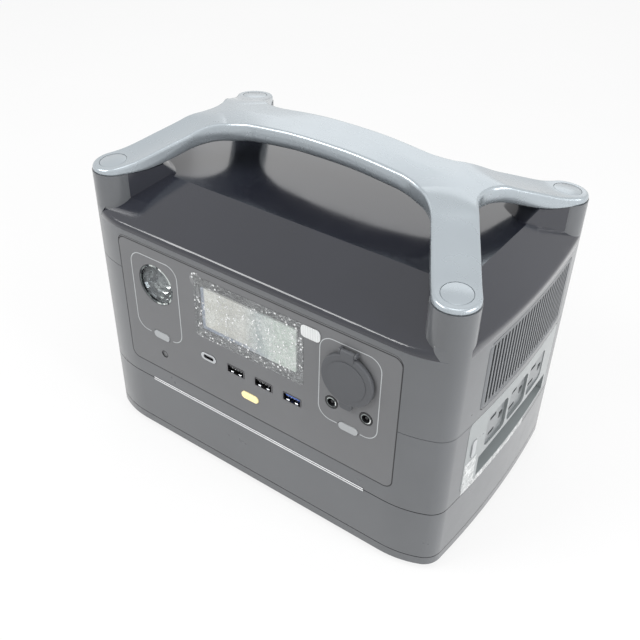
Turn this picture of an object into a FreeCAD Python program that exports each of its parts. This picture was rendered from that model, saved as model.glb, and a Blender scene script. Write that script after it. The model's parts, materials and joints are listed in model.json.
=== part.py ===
import FreeCAD, Part
import math
import os

V = FreeCAD.Vector

# Portable power station: +Z up, the front faces -Y, +X is to the right of the front.
# The origin is on the floor under the middle of the case. All sizes are in millimetres.

# --- case sizes ---
case_width = 289.0
case_depth = 184.0
post_inset_x = 17.8           # from the sides to the posts, whose centres are the corner arcs' centres
post_inset_y = 18.8
corner_radius = 14.0
shoulder_radius = 65.0        # soft bend between the flat front and the tight corner
wall = 3.0
groove = 0.4                  # width of the visible line between two shells
groove_depth = 1.2

# --- heights ---
foot_height = 1.5
tray_seam = 12.1
main_seam = 52.5
split_right = 113.5           # line between the middle and upper case, right of the middle
split_left_drop = 30.8        # the same line left of the middle, below the rim
upper_height = 118.5          # from the main seam to the top of the upper case wall
slope_lift = 4.0              # from there to where the roof slopes would meet the wall
flat_lift = 25.0              # to the flat top
leg_end_lift = 35.5           # to the top of each leg's end
handle_rise = 28.5            # from the legs' ends to the crown of the bar

# --- roof ---
flat_inset_x = 26.0
flat_inset_y = 41.0
rim_fillet = 3.5
lip_width = 4.0
lip_height = 3.0
roof_thickness = 3.5
post_depth = 51.5             # from the top of a post down to its foot inside the case
post_solid = 16.0             # solid top of each post
fin_inset = 0.5               # from the case outline
fin_depth = 12.0              # of a fin's root below the flat top
fin_width = 25.0
fin_gap = 0.3                 # under the leg of the handle
fin_flat = 31.0               # distance from the post's centre where a fin starts to fall
fin_length = 40.0

# --- handle ---
bar_width = 36.0
bar_drop = 3.0                # fall of the bar's top from its middle to bar_drop_at
bar_drop_at = 60.0
bar_thickness = 13.0
leg_spread = 44.7             # from a post in to where its leg's axis crosses the middle plane
leg_width = 27.0
leg_end_thickness = 5.0
leg_rise_start = 9.0          # distances from the post's centre
leg_rise_end = 75.0
plateau_drop = 6.0            # from the crown of the bar to the upper end of a leg's rise
under_plateau_drop = 19.0
leg_under_shift = 4.0
plateau_slope = 0.15
inner_fillet = 22.0
crotch_fillet = 11.0
grip_length = 146.0
grip_width = 27.0
grip_depth = 4.0
grip_radius = 10.0
arch_margin = 20.0            # how far the arch's solid runs past the sides
fit_gap = 0.2                 # around pieces that are set into a pocket
cap_radius = 8.6
cap_thickness = 2.0
screw_head_radius = 5.4
screw_head_height = 2.1
screw_radius = 2.4
screw_length = 24.0
screw_gap = 0.1
screw_drive = 4.2             # square drive in the head
screw_drive_floor = 0.8

# --- base section ---
deck = 2.5
floor_thickness = 2.5
tray_chamfer = 4.0
foot_radius = 9.0
foot_inset = 1.0
foot_from_side = 40.5
foot_from_front = 30.0
tray_screw_from_side = 32.5
tray_screw_from_front = 56.0
boss_radius = 4.0
boss_drop = 4.0               # from the tray seam down to where a boss meets its pad
pad_radius = 5.0
tray_screw_hole = 1.6
tray_screw_bite = 6.0         # how far the screws reach above the tray's seam
tray_head_radius = 3.0
tray_head_height = 1.8
tray_head_hole = 3.4
tray_head_depth = 2.5
board_post_x = 15.0
board_post_y = 40.0
board_post_height = 4.0
trim_half_length = 90.6
trim_height = 2.6
trim_proud = 0.35
trim_rib = 0.94               # height of each of its two ribs

# --- front panel ---
panel_from_side = 34.9
panel_from_seam = 13.2
panel_from_rim = 4.3
panel_radius = 6.0
panel_gap = 0.4
flange_width = 2.5
flange_depth = 2.0
board_gap = 15.0              # from the panel's back face to the front board
board_thickness = 1.6
standoff_radius = 3.0
pin_screw_radius = 1.2
board_screw_length = 7.0
board_margin = 5.0            # the front board is this much smaller than the panel all round
standoff_inset = 9.0
window_radius = 3.0
lcd_margin = 1.5              # clear edge of the opening behind the window

# --- front controls ---
button_width = 14.0
button_height = 5.6
button_proud = 0.5
button_travel = 1.0
button_gap = 0.3
button_flange = 1.4
button_flange_back = 1.8      # from the wall's inner face to the back of a button's flange
button_tail = 2.4             # from there to the button's inner end
reset_sunk = 0.6
switch_size = 6.0
switch_height = 3.5
switch_stem_radius = 1.7
reset_radius = 2.5
lamp_from_side = 31.3         # measured from the panel's edges
lamp_from_top = 28.7
lamp_radius = 15.0
lamp_wall = 1.2
lamp_throat = 4.0
lamp_rim_sunk = 0.3
lens_front = 1.6
lens_back = 3.0
lamp_led_height = 3.0
lamp_led_radius = 3.5
lamp_button_shift = 0.8       # from the lamp's own line
lamp_button_lift = 30.9
reset_shift = 1.4
reset_lift = 15.0
power_lift = 15.9
window_x = -0.5
window_from_top = 29.9
window_width = 86.7
window_height = 46.7
window_thickness = 1.5
lcd_x = -1.6
lcd_drop = 1.1
lcd_width = 75.6
lcd_height = 32.0
module_thickness = 6.0        # frame and backlight behind the pane
module_edge = 4.0
film_thickness = 0.25
film_back = 24.0              # rear end of the film along the foot of the outlet panel
film_rise = 5.5               # its height above the main seam
tab_x = 48.0
tab_lift = 19.2               # above the window's middle
tab_width = 14.0
tab_height = 8.6
usb_lift = 32.1
usb_a_xs = (-11.6, 11.4)
usb_fast_x = 34.3
usb_c_x = -35.0
usb_width = 14.3
usb_height = 6.6
usb_wall = 0.5
usb_depth = 12.0
usb_tongue_width = 10.8
usb_tongue_height = 1.8
usb_c_bezel = (13.0, 6.0)
usb_c_mouth = (8.9, 3.2)
usb_c_depth = 7.0
usb_c_wall = 0.3
usb_c_tongue = (6.6, 0.7)
port_proud = 0.2
socket_from_side = 33.9
socket_from_top = 30.7
socket_bore = 10.5
socket_wall = 1.5
socket_flange = 15.0
socket_flange_proud = 0.5
socket_length = 38.0
socket_contact_radius = 3.5
socket_contact_length = 3.0
cap_disc_radius = 18.0
cap_disc_thickness = 2.8
cap_raise = 0.4               # raised middle of the cap
cap_raise_margin = 4.5
cap_edge_round = 1.2
cap_boss_depth = 4.0          # plug part that sits in the socket
cap_ear_width = 9.0
cap_hinge_rise = 20.0         # from the socket's centre up to the cap's hinge
cap_hinge_radius = 1.6
cap_pin_radius = 0.7
cap_pin_gap = 0.05
cap_cheek = 1.2
cap_swing_gap = 1.3           # lets the plug part swing out of the bore
cap_tab_height = 8.0
jack_shifts = (-11.6, 13.1)   # from the socket
jack_drop = 24.3
jack_radius = 4.6
jack_bore = 2.75
jack_pin = 1.05
jack_depth = 10.0
dc_button_shift = 1.2
dc_button_drop = 14.4         # below the jacks

# --- sides ---
side_panel_lift = 4.0         # above the main seam
side_panel_front_gap = 11.2   # from the posts' centres
side_panel_back_gap = 7.2
side_panel_radius = 4.0
scoop_front = -44.0
scoop_back_gap = 6.0          # from the panel's rear edge
scoop_height = 22.5
scoop_depth = 9.0
scoop_wall = 2.5
scoop_ledge = 2.0             # height of the ledge above the panel's lower edge
outlet_ys = (-26.0, 3.5, 33.0)
outlet_lift = 35.1            # above the panel's lower edge
outlet_width = 26.0
outlet_height = 24.0
outlet_recess = 1.9           # from the side's widest point in to the outlet's face
outlet_depth = 16.0
outlet_radius = 4.0
outlet_hole_depth = 12.0
outlet_flange_grow = 1.0
blade_spacing = 12.7
blade_length = 8.0
blade_thickness = 2.4
blade_shift = -3.5
ground_shift = 8.4
ground_radius = 2.7
ac_button_gap = 8.7           # from the panel's front edge
ac_button_lift = 32.4
vent_front_gap = 19.2         # from the posts' centres
vent_back_gap = 9.2
vent_lift = 5.5               # above the split on the right
vent_lift_left = 4.8
vent_drop = 3.5               # below the rim
vent_pitch = 4.1
vent_slot = 2.2
vent_margin = 2.4
vent_frame = 1.2              # frame that keeps a vent plate behind its opening
vent_lap = 1.5
fan_pillar_radius = 2.4
fan_pillar_inset = 5.0
inlet_y = -22.0
inlet_lift = 41.5             # above the panel's lower edge
inlet_width = 27.0
inlet_height = 20.0
inlet_radius = 3.0
inlet_sunk = 1.2
inlet_depth = 24.0
inlet_mouth_depth = 17.0
inlet_rim = 1.6
inlet_lap = 2.0               # flange behind the wall
inlet_flange = 8.0
inlet_pin_spacing = 7.0
inlet_pin_drop = 2.0
solar_y = 24.0
solar_width = 17.0
solar_height = 11.0
solar_radius = 2.5
solar_depth = 20.0
solar_mouth_depth = 12.0
solar_rim = 1.2
solar_pin_radius = 1.9
solar_pin_reach = 3.6

# --- inside ---
cell_radius = 9.2
cell_length = 65.0
cell_pitch = 19.2
pack_side_room = 92.0         # room beside the cells, both sides together
pack_x = -8.0
pack_front = -35.0
pack_board_gap = 3.0
holder_thickness = 6.0
holder_margin = 8.0
strip_thickness = 0.3
strip_width = 8.0
cell_lift = 1.5               # from the floor to the lowest cells
busbar_width = 10.0
busbar_x = 60.0
busbar_thickness = 1.5
busbar_length = 30.0
inverter_drop = 34.0          # below the rim
module_side_room = 140.0
module_rows = 2
module_x = -14.0
module_board_width = 38.0
module_board_depth = 92.0
module_gap = 3.0              # from the holders to the board
module_split = 10.0           # between the front and the rear cells
fan_lap = 1.5                 # a fan is this much taller than the vent
fan_rise = 0.5                # of a fan's top above the vent
fan_depth = 15.0
fan_spacing = 4.0             # between the two fans
fan_tip_gap = 0.8
fan_end_room = 6.0            # between a fan and the vent's end
fan_blades = 7
blade_chord = 8.8
blade_pitch = 38.0
dock_from_side = 47.5
dock_size = (14.0, 30.0)
dock_flange = 3.0
dock_reach = 8.0              # above the case floor and below the base's deck
inverter_from_left = 40.5
inverter_from_right = 36.5
inverter_y = (-48.0, 66.0)
device_pitch = 28.0
device_count = 7
device_ys = (-24.0, 34.0)
device_size = (10.0, 16.0, 4.4)
sink_inset = 4.0
sink_y = (-42.0, 52.0)
sink_base = 3.0
sink_fins = 13
sink_fin = 1.6
fan_wall = 1.5
fan_plate = 2.0
fan_hub_share = 0.22          # hub radius by fan size
fan_shaft_radius = 1.5
fan_shaft_gap = 0.06

# --- places worked out from the sizes ---
front = -case_depth / 2
side = case_width / 2
post_x = side - post_inset_x
post_y = -front - post_inset_y
rim_height = main_seam + upper_height
split_left = rim_height - split_left_drop
slope_start = rim_height + slope_lift
flat_top = rim_height + flat_lift
flat_half_x = side - flat_inset_x
flat_half_y = -front - flat_inset_y
leg_end_top = rim_height + leg_end_lift
overall_height = leg_end_top + handle_rise
leg_axis_x = post_x - leg_spread
leg_plateau = overall_height - plateau_drop
leg_under_plateau = overall_height - under_plateau_drop
post_top = leg_end_top - leg_end_thickness
fin_root = flat_top - fin_depth
post_foot = post_top - post_depth
foot_x = side - foot_from_side
foot_y = -front - foot_from_front
tray_screw_x = side - tray_screw_from_side
tray_screw_y = -front - tray_screw_from_front

panel_low = main_seam + panel_from_seam
panel_high = rim_height - panel_from_rim
panel_z = (panel_low + panel_high) / 2
panel_width = 2 * (side - panel_from_side)
panel_height = panel_high - panel_low
panel_back = front + wall
board_face = panel_back + board_gap
lamp_x = lamp_from_side - panel_width / 2
lamp_z = panel_high - lamp_from_top
lamp_button_x = lamp_x + lamp_button_shift
lamp_button_z = panel_low + lamp_button_lift
reset_x = lamp_x + reset_shift
reset_z = panel_low + reset_lift
power_z = panel_low + power_lift
window_z = panel_high - window_from_top
lcd_z = window_z - lcd_drop
tab_z = window_z + tab_lift
usb_z = panel_low + usb_lift
socket_x = panel_width / 2 - socket_from_side
socket_z = panel_high - socket_from_top
jack_xs = [socket_x + shift for shift in jack_shifts]
jack_z = socket_z - jack_drop
dc_button_x = socket_x + dc_button_shift
dc_button_z = jack_z - dc_button_drop

side_panel_low = main_seam + side_panel_lift
side_panel_front = side_panel_front_gap - post_y
side_panel_back = post_y - side_panel_back_gap
scoop_back = side_panel_back - scoop_back_gap
scoop_top = side_panel_low + scoop_height
outlet_z = side_panel_low + outlet_lift
ac_button_y = side_panel_front + ac_button_gap
ac_button_z = side_panel_low + ac_button_lift
inlet_z = side_panel_low + inlet_lift
vent_front = vent_front_gap - post_y
vent_back = post_y - vent_back_gap
vent_low = split_right + vent_lift
vent_low_left = split_left + vent_lift_left
vent_high = rim_height - vent_drop
bar_radius = bar_drop_at ** 2 / (2 * bar_drop)
floor_top = main_seam + floor_thickness + groove / 2
vent_y = (vent_front + vent_back) / 2
vent_length = vent_back - vent_front

inverter_z = rim_height - inverter_drop
inverter_x = (inverter_from_left - side, side - inverter_from_right)
sink_x = (inverter_x[0] + sink_inset, inverter_x[1] - sink_inset)
pack_columns = int((case_width - pack_side_room) / cell_pitch)
pack_rows = int((inverter_z - floor_top - cell_lift) / cell_pitch)
module_columns = int((case_width - module_side_room) / cell_pitch)
dock_x = side - dock_from_side
fan_size = min(vent_high - vent_low + fan_lap, (vent_length - fan_spacing) / 2 - fan_end_room)
fan_hub_radius = fan_hub_share * fan_size
fan_ys = [vent_y + turn * (fan_size + fan_spacing) / 2 for turn in (-1, 1)]
fan_z = vent_high + fan_rise - fan_size / 2


# ---------- helpers ----------

def box(x0, x1, y0, y1, z0, z1):
    return Part.makeBox(x1 - x0, y1 - y0, z1 - z0, V(x0, y0, z0))


def rod(radius, start, end):
    """Round bar between two points."""
    run = end - start
    return Part.makeCylinder(radius, run.Length, start, run)


def fused(shapes):
    first, rest = shapes[0], shapes[1:]
    return first.fuse(rest).removeSplitter() if rest else first


def group(shapes):
    """Separate solids that share one node."""
    return Part.makeCompound(shapes)


def arc(centre, radius, start, end):
    """Arc in the horizontal plane between two angles in degrees."""
    points = []
    for angle in (start, (start + end) / 2, end):
        a = math.radians(angle)
        points.append(V(centre[0] + radius * math.cos(a), centre[1] + radius * math.sin(a), 0))
    return Part.Arc(*points).toShape()


def slab(face, u, v, width, height, radius, low, high):
    """Plate with round corners. On "front" u, v are x, z; on "side" y, z; on "top" x, y.
    Its thickness runs from low to high along the face's own axis."""
    def at(du, dv):
        return {"front": V(u + du, low, v + dv), "side": V(low, u + du, v + dv),
                "top": V(u + du, v + dv, low)}[face]

    half_u, half_v = width / 2, height / 2
    r = min(radius, half_u, half_v)
    diagonal = r * math.sqrt(0.5)
    edges = []
    corners = [(1, 1), (-1, 1), (-1, -1), (1, -1)]
    previous = (half_u, -(half_v - r))
    for su, sv in corners:
        cu, cv = su * (half_u - r), sv * (half_v - r)
        ends = [(cu + su * r, cv), (cu, cv + sv * r)]
        if su * sv < 0:
            ends.reverse()
        start, end = ends
        if math.dist(previous, start) > 1e-6:
            edges.append(Part.makeLine(at(*previous), at(*start)))
        middle = (cu + su * diagonal, cv + sv * diagonal)
        edges.append(Part.Arc(at(*start), at(*middle), at(*end)).toShape())
        previous = end
    first = (half_u, -(half_v - r))
    if math.dist(previous, first) > 1e-6:
        edges.append(Part.makeLine(at(*previous), at(*first)))
    run = {"front": V(0, high - low, 0), "side": V(high - low, 0, 0), "top": V(0, 0, high - low)}[face]
    return Part.Face(Part.Wire(edges)).extrude(run)


def case_outline(inset):
    """Outline of the case seen from above, moved inwards by inset."""
    half = case_depth / 2
    shoulder_y = half - shoulder_radius
    reach = shoulder_radius - corner_radius
    shoulder_x = post_x - math.sqrt(reach ** 2 - (post_y - shoulder_y) ** 2)
    edge = side - post_x
    side_radius = (edge ** 2 + post_y ** 2 - corner_radius ** 2) / (2 * (edge - corner_radius))
    side_x = side - side_radius
    a1 = math.degrees(math.atan2(post_y - shoulder_y, post_x - shoulder_x))
    a2 = math.degrees(math.atan2(post_y, post_x - side_x))
    soft, tight, bow = shoulder_radius - inset, corner_radius - inset, side_radius - inset
    y = half - inset
    edges = [
        Part.makeLine(V(-shoulder_x, y, 0), V(shoulder_x, y, 0)),
        arc((shoulder_x, shoulder_y), soft, 90, a1),
        arc((post_x, post_y), tight, a1, a2),
        arc((side_x, 0), bow, a2, -a2),
        arc((post_x, -post_y), tight, -a2, -a1),
        arc((shoulder_x, -shoulder_y), soft, -a1, -90),
        Part.makeLine(V(shoulder_x, -y, 0), V(-shoulder_x, -y, 0)),
        arc((-shoulder_x, -shoulder_y), soft, -90, a1 - 180),
        arc((-post_x, -post_y), tight, a1 - 180, a2 - 180),
        arc((-side_x, 0), bow, a2 - 180, -a2 - 180),
        arc((-post_x, post_y), tight, 180 - a2, 180 - a1),
        arc((-shoulder_x, shoulder_y), soft, 180 - a1, 90),
    ]
    return Part.Wire(edges)


def case_prism(inset, low, high):
    face = Part.Face(case_outline(inset))
    face.translate(V(0, 0, low))
    return face.extrude(V(0, 0, high - low))


def case_ring(inset, thickness, low, high):
    return case_prism(inset, low, high).cut(case_prism(inset + thickness, low, high))


def four_corners(x, y):
    return [(sx * x, sy * y) for sx in (-1, 1) for sy in (-1, 1)]


def save(name, shape):
    shape.exportStep(os.path.join("parts", name + ".step"))


# ---------- shells ----------

def panel_window(gap):
    """Opening in the front wall, or in the back wall once mirrored."""
    return slab("front", 0, panel_z, panel_width + 2 * gap, panel_height + 2 * gap,
                panel_radius + gap, front - wall, front + 2 * wall)


def side_window(low, high, start, end, gap):
    """Opening in the right wall, or in the left wall once mirrored."""
    return slab("side", (start + end) / 2, (low + high) / 2, end - start + 2 * gap, high - low + 2 * gap,
                side_panel_radius + gap, side - 4 * wall, side + wall)


def mirror_x(shape):
    return shape.mirror(V(0, 0, 0), V(1, 0, 0))


def mirror_y(shape):
    return shape.mirror(V(0, 0, 0), V(0, 1, 0))


def trim_pocket():
    return box(-trim_half_length - fit_gap, trim_half_length + fit_gap, front - wall, front + groove_depth,
               main_seam - trim_height / 2 - fit_gap, main_seam + trim_height / 2 + fit_gap)


def wall_openings():
    """Every opening in the walls of the middle and upper case."""
    return [
        panel_window(panel_gap),
        mirror_y(panel_window(panel_gap)),
        side_window(side_panel_low, split_right, side_panel_front, side_panel_back, panel_gap),
        mirror_x(side_window(side_panel_low, split_left, side_panel_front, side_panel_back, panel_gap)),
        side_window(vent_low, vent_high, vent_front, vent_back, panel_gap),
        mirror_x(side_window(vent_low_left, vent_high, vent_front, vent_back, panel_gap)),
    ]


def middle_band(inset, thickness, shift):
    """Wall of the middle case, whose top steps from one split height to the other."""
    low = main_seam + groove / 2
    right = case_ring(inset, thickness, low, split_right + shift)
    left = case_ring(inset, thickness, low, split_left + shift).common(
        box(-case_width, 0, -case_depth, case_depth, low, overall_height))
    return right.fuse(left)


def dock_hole(gap, low, high):
    return slab("top", dock_x, 0, dock_size[0] + 2 * gap, dock_size[1] + 2 * gap, 2, low, high)


def middle_case():
    body = middle_band(0, wall, -groove / 2).fuse([
        middle_band(groove_depth, wall - groove_depth, groove / 2),
        case_prism(groove_depth, main_seam - groove / 2, floor_top),
    ])
    body = body.cut(wall_openings() + [trim_pocket(), dock_hole(fit_gap, main_seam - wall, floor_top + wall)])
    return body.removeSplitter()


def upper_case():
    right = case_ring(0, wall, split_right + groove / 2, rim_height)
    left = case_ring(0, wall, split_left + groove / 2, rim_height)
    half = box(-case_width, 0, -case_depth, case_depth, 0, overall_height)
    body = right.cut(half).fuse(left.common(half))
    lip = case_ring(wall, lip_width, rim_height - lip_height, rim_height)
    posts = []
    bores = []
    for x, y in four_corners(post_x, post_y):
        posts.append(rod(corner_radius, V(x, y, post_foot), V(x, y, post_top)))
        bores.append(rod(corner_radius - wall, V(x, y, post_foot - 1), V(x, y, post_top - post_solid)))
        bores.append(rod(screw_radius + screw_gap, V(x, y, post_foot), V(x, y, post_top + 1)))
    body = body.fuse([lip] + posts).cut(bores + wall_openings())
    return body.removeSplitter()


def hip(drop, low):
    """Solid under the four roof slopes and the flat top, lowered by drop."""
    rise = flat_top - slope_start
    reach_x, reach_y = side - flat_half_x, -front - flat_half_y
    below = 60.0
    grow = below / rise

    def ring(level, fx, fy):
        return Part.makePolygon([V(-fx, -fy, level), V(fx, -fy, level), V(fx, fy, level),
                                 V(-fx, fy, level), V(-fx, -fy, level)])

    top = ring(flat_top - drop, flat_half_x, flat_half_y)
    bottom = ring(slope_start - below - drop, side + grow * reach_x, -front + grow * reach_y)
    solid = Part.makeLoft([bottom, top], True, True)
    return solid.common(box(-2 * side, 2 * side, 4 * front, -4 * front, low, overall_height))


def leg_frame(x, y):
    """Unit vector along the leg, from the post towards the bar."""
    along = V(math.copysign(leg_axis_x, x) - x, -y, 0)
    along.normalize()
    return along


def band(x, y, width, start, end, low, high):
    """Upright wall along the axis of a leg, between two distances from its post."""
    along = leg_frame(x, y)
    across = V(-along.y, along.x, 0) * (width / 2)
    centre = V(x, y, low)
    a, b = centre + along * start, centre + along * end
    wire = Part.makePolygon([a - across, b - across, b + across, a + across, a - across])
    return Part.Face(wire).extrude(V(0, 0, high - low))


def revolved(x, y, edges):
    """Solid of revolution about a post's axis; edges lie in the XZ plane, starting on the axis."""
    face = Part.Face(Part.Wire(edges))
    solid = face.revolve(V(0, 0, 0), V(0, 0, 1), 360)
    solid.translate(V(x, y, 0))
    return solid


def rise_curve(start, low, end, high):
    """S-shaped rise with level ends."""
    third = (end - start) / 3
    curve = Part.BezierCurve()
    curve.setPoles([V(start, 0, low), V(start + third, 0, low), V(end - third, 0, high), V(end, 0, high)])
    return curve.toShape()


def below_leg_surface(x, y, start, low, end, high):
    """Everything below the surface that rises away from a post to the bar."""
    far = case_width + case_depth
    far_height = high + plateau_slope * (far - end)
    points = [V(end, 0, high), V(far, 0, far_height), V(far, 0, post_foot), V(0, 0, post_foot), V(0, 0, low),
              V(start, 0, low)]
    edges = [rise_curve(start, low, end, high)]
    edges += [Part.makeLine(a, b) for a, b in zip(points, points[1:])]
    return revolved(x, y, edges)


def roof_cover():
    body = case_prism(0, rim_height, overall_height).common(hip(0, rim_height))
    rim = []
    for edge in body.Edges:
        middle = edge.valueAt((edge.FirstParameter + edge.LastParameter) / 2)
        steep = slope_start - 2.0 < middle.z < flat_top - 8.0
        if steep and abs(middle.x) < post_x - 8.0 or steep and abs(middle.y) < post_y - 8.0:
            if edge.Length > corner_radius and abs(edge.BoundBox.ZLength) < 6.0:
                rim.append(edge)
    body = body.makeFillet(rim_fillet, rim)
    hollow = case_prism(wall, rim_height - 1, overall_height).common(hip(roof_thickness, rim_height - 1))
    fins = []
    posts = []
    for x, y in four_corners(post_x, post_y):
        blade = band(x, y, fin_width, 0, fin_length, fin_root, overall_height)
        blade = blade.common(below_leg_surface(x, y, leg_rise_start + leg_under_shift, post_top - fin_gap,
                                               leg_rise_end + leg_under_shift, leg_under_plateau - fin_gap))
        fall = [V(0, 0, rim_height), V(fin_length, 0, rim_height), V(fin_length, 0, flat_top),
                V(fin_flat, 0, flat_top + fin_length - fin_flat), V(0, 0, overall_height),
                V(0, 0, rim_height)]
        fall = [Part.makeLine(a, b) for a, b in zip(fall, fall[1:])]
        fins.append(blade.common(revolved(x, y, fall)).common(case_prism(fin_inset, 0, overall_height)))
        posts.append(rod(corner_radius, V(x, y, post_foot), V(x, y, overall_height)))
    body = body.cut(hollow).fuse(fins).cut(posts)
    return body.removeSplitter()


# ---------- handle ----------

def arch(top, margin):
    """Solid under the bar's arch, with its crown at height top."""
    reach = side + margin
    drop = bar_radius - math.sqrt(bar_radius ** 2 - reach ** 2)
    curve = Part.Arc(V(-reach, front, top - drop), V(0, front, top), V(reach, front, top - drop)).toShape()
    points = [V(reach, front, top - drop), V(reach, front, post_foot), V(-reach, front, post_foot),
              V(-reach, front, top - drop)]
    edges = [curve] + [Part.makeLine(a, b) for a, b in zip(points, points[1:])]
    return Part.Face(Part.Wire(edges)).extrude(V(0, case_depth, 0))


def upright_edges(shape, height):
    """Straight vertical edges of the full height."""
    found = []
    for edge in shape.Edges:
        bounds = edge.BoundBox
        if bounds.ZLength > height - 0.1 and bounds.XLength < 0.1 and bounds.YLength < 0.1:
            found.append(edge)
    return found


def handle_plan(low, high):
    """The bar and its four legs, seen from above."""
    pieces = [box(-leg_axis_x, leg_axis_x, -bar_width / 2, bar_width / 2, low, high)]
    for x, y in four_corners(post_x, post_y):
        length = math.hypot(post_x - leg_axis_x, post_y)
        pieces.append(band(x, y, leg_width, 0, length, low, high))
        pieces.append(rod(leg_width / 2, V(x, y, low), V(x, y, high)))
    body = fused(pieces)
    crotch = [e for e in upright_edges(body, high - low) if abs(e.BoundBox.Center.y) < 0.1]
    body = body.makeFillet(crotch_fillet, crotch)
    inner = [e for e in upright_edges(body, high - low)
             if abs(abs(e.BoundBox.Center.y) - bar_width / 2) < 0.1
             and abs(e.BoundBox.Center.x) < leg_axis_x + 5]
    return body.makeFillet(inner_fillet, inner)


def handle_under(extra):
    """Solid under the handle, with its top raised by extra."""
    body = arch(overall_height - bar_thickness + extra, arch_margin)
    for x, y in four_corners(post_x, post_y):
        body = body.common(below_leg_surface(x, y, leg_rise_start + leg_under_shift, post_top + extra,
                                             leg_rise_end + leg_under_shift, leg_under_plateau + extra))
    return body


def handle():
    body = handle_plan(post_top - 5, overall_height + 5)
    body = body.common(arch(overall_height, arch_margin))
    for x, y in four_corners(post_x, post_y):
        body = body.common(below_leg_surface(x, y, leg_rise_start, leg_end_top, leg_rise_end, leg_plateau))
    body = body.cut(handle_under(0))
    pocket = slab("top", 0, 0, grip_length + 2 * fit_gap, grip_width + 2 * fit_gap, grip_radius,
                  post_top, overall_height)
    cuts = [pocket.common(handle_under(grip_depth))]
    for x, y in four_corners(post_x, post_y):
        head_top = leg_end_top - cap_thickness
        cuts.append(rod(cap_radius + fit_gap / 2, V(x, y, head_top), V(x, y, leg_end_top + 1)))
        cuts.append(rod(screw_head_radius + fit_gap, V(x, y, head_top - screw_head_height),
                        V(x, y, leg_end_top)))
        cuts.append(rod(screw_radius + screw_gap, V(x, y, post_top - 1), V(x, y, leg_end_top)))
    return body.cut(cuts)


def handle_grip():
    body = slab("top", 0, 0, grip_length, grip_width, grip_radius, post_top, overall_height)
    return body.common(handle_under(grip_depth)).cut(handle_under(0))


def handle_screws():
    screws = []
    for x, y in four_corners(post_x, post_y):
        head_low = leg_end_top - cap_thickness - screw_head_height
        head = rod(screw_head_radius, V(x, y, head_low), V(x, y, head_low + screw_head_height))
        recess = slab("top", x, y, screw_drive, screw_drive, 0.6, head_low + screw_drive_floor,
                      head_low + screw_head_height)
        shank = rod(screw_radius, V(x, y, head_low - screw_length), V(x, y, head_low + screw_drive_floor))
        screws.append(head.fuse(shank).cut(recess))
    return group(screws)


def handle_caps():
    top = leg_end_top
    return group([rod(cap_radius, V(x, y, top - cap_thickness), V(x, y, top))
                  for x, y in four_corners(post_x, post_y)])


# ---------- base section ----------

def base_case():
    low = tray_seam + groove / 2
    top = main_seam - groove / 2
    body = case_ring(0, wall, low, top).fuse(case_prism(0, top - deck, top))
    bosses, holes = [], []
    for x, y in four_corners(tray_screw_x, tray_screw_y):
        bosses.append(rod(boss_radius, V(x, y, tray_seam - boss_drop), V(x, y, top - deck)))
        holes.append(rod(pin_screw_radius, V(x, y, 0), V(x, y, tray_seam + 2 * tray_screw_bite)))
    holes += [trim_pocket(), dock_hole(fit_gap, top - 2 * deck, top + deck)]
    return body.fuse(bosses).cut(holes).removeSplitter()


def base_tray():
    top = tray_seam - groove / 2
    body = case_prism(0, foot_height, top)
    low_edges = [e for e in body.Edges if e.BoundBox.ZMax < foot_height + 0.01]
    body = body.makeChamfer(tray_chamfer, low_edges)
    floor = foot_height + floor_thickness
    inner = wall + tray_chamfer / 2
    rim = case_ring(groove_depth, inner - groove_depth, floor, tray_seam + groove / 2)
    body = body.cut(case_prism(inner, floor, top)).fuse(rim)
    pads, holes = [], []
    for x, y in four_corners(tray_screw_x, tray_screw_y):
        pads.append(rod(pad_radius, V(x, y, foot_height), V(x, y, tray_seam - boss_drop)))
        holes.append(rod(tray_screw_hole, V(x, y, 0), V(x, y, tray_seam)))
        holes.append(rod(tray_head_hole, V(x, y, 0), V(x, y, foot_height + tray_head_depth)))
    for x, y in four_corners(foot_x, foot_y):
        pads.append(rod(foot_radius + 2, V(x, y, foot_height), V(x, y, floor + foot_inset)))
        holes.append(rod(foot_radius + fit_gap, V(x, y, 0), V(x, y, foot_height + foot_inset)))
    for x, y in four_corners(board_post_x, board_post_y):
        x += module_board_x()
        pads.append(rod(standoff_radius, V(x, y, floor - 1), V(x, y, floor + board_post_height)))
    return body.fuse(pads).cut(holes).removeSplitter()


def module_board_x():
    return module_x + module_columns * cell_pitch / 2 + holder_margin + module_board_width / 2 + module_gap


def feet():
    return group([rod(foot_radius, V(x, y, 0), V(x, y, foot_height + foot_inset))
                  for x, y in four_corners(foot_x, foot_y)])


def tray_screws():
    screws = []
    for x, y in four_corners(tray_screw_x, tray_screw_y):
        seat = foot_height + tray_head_depth
        low = seat - tray_head_height
        head = rod(tray_head_radius, V(x, y, low), V(x, y, seat))
        shank = rod(pin_screw_radius, V(x, y, seat - 0.2), V(x, y, tray_seam + tray_screw_bite))
        slot = slab("top", x, y, tray_head_radius * 1.2, tray_head_radius * 0.3, 0.2, low, low + 0.8)
        screws.append(head.fuse(shank).cut(slot))
    return group(screws)


def seam_trim():
    """Bright strip in the front seam: two ribs on a thin back."""
    half = trim_height / 2
    back = box(-trim_half_length, trim_half_length, front, front + groove_depth,
               main_seam - half, main_seam + half)
    ribs = [box(-trim_half_length, trim_half_length, front - trim_proud, front, z, z + trim_rib)
            for z in (main_seam - half, main_seam + half - trim_rib)]
    return fused([back] + ribs)


# ---------- front panel and its pieces ----------

def pill(x, z, grow, low, high):
    return slab("front", x, z, button_width + 2 * grow, button_height + 2 * grow,
                button_height / 2 + grow, low, high)


def front_pills():
    return {"lamp_button": (lamp_button_x, lamp_button_z), "power_button": (0.0, power_z),
            "dc_button": (dc_button_x, dc_button_z)}


def usb_a_all():
    return list(usb_a_xs) + [usb_fast_x]


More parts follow.
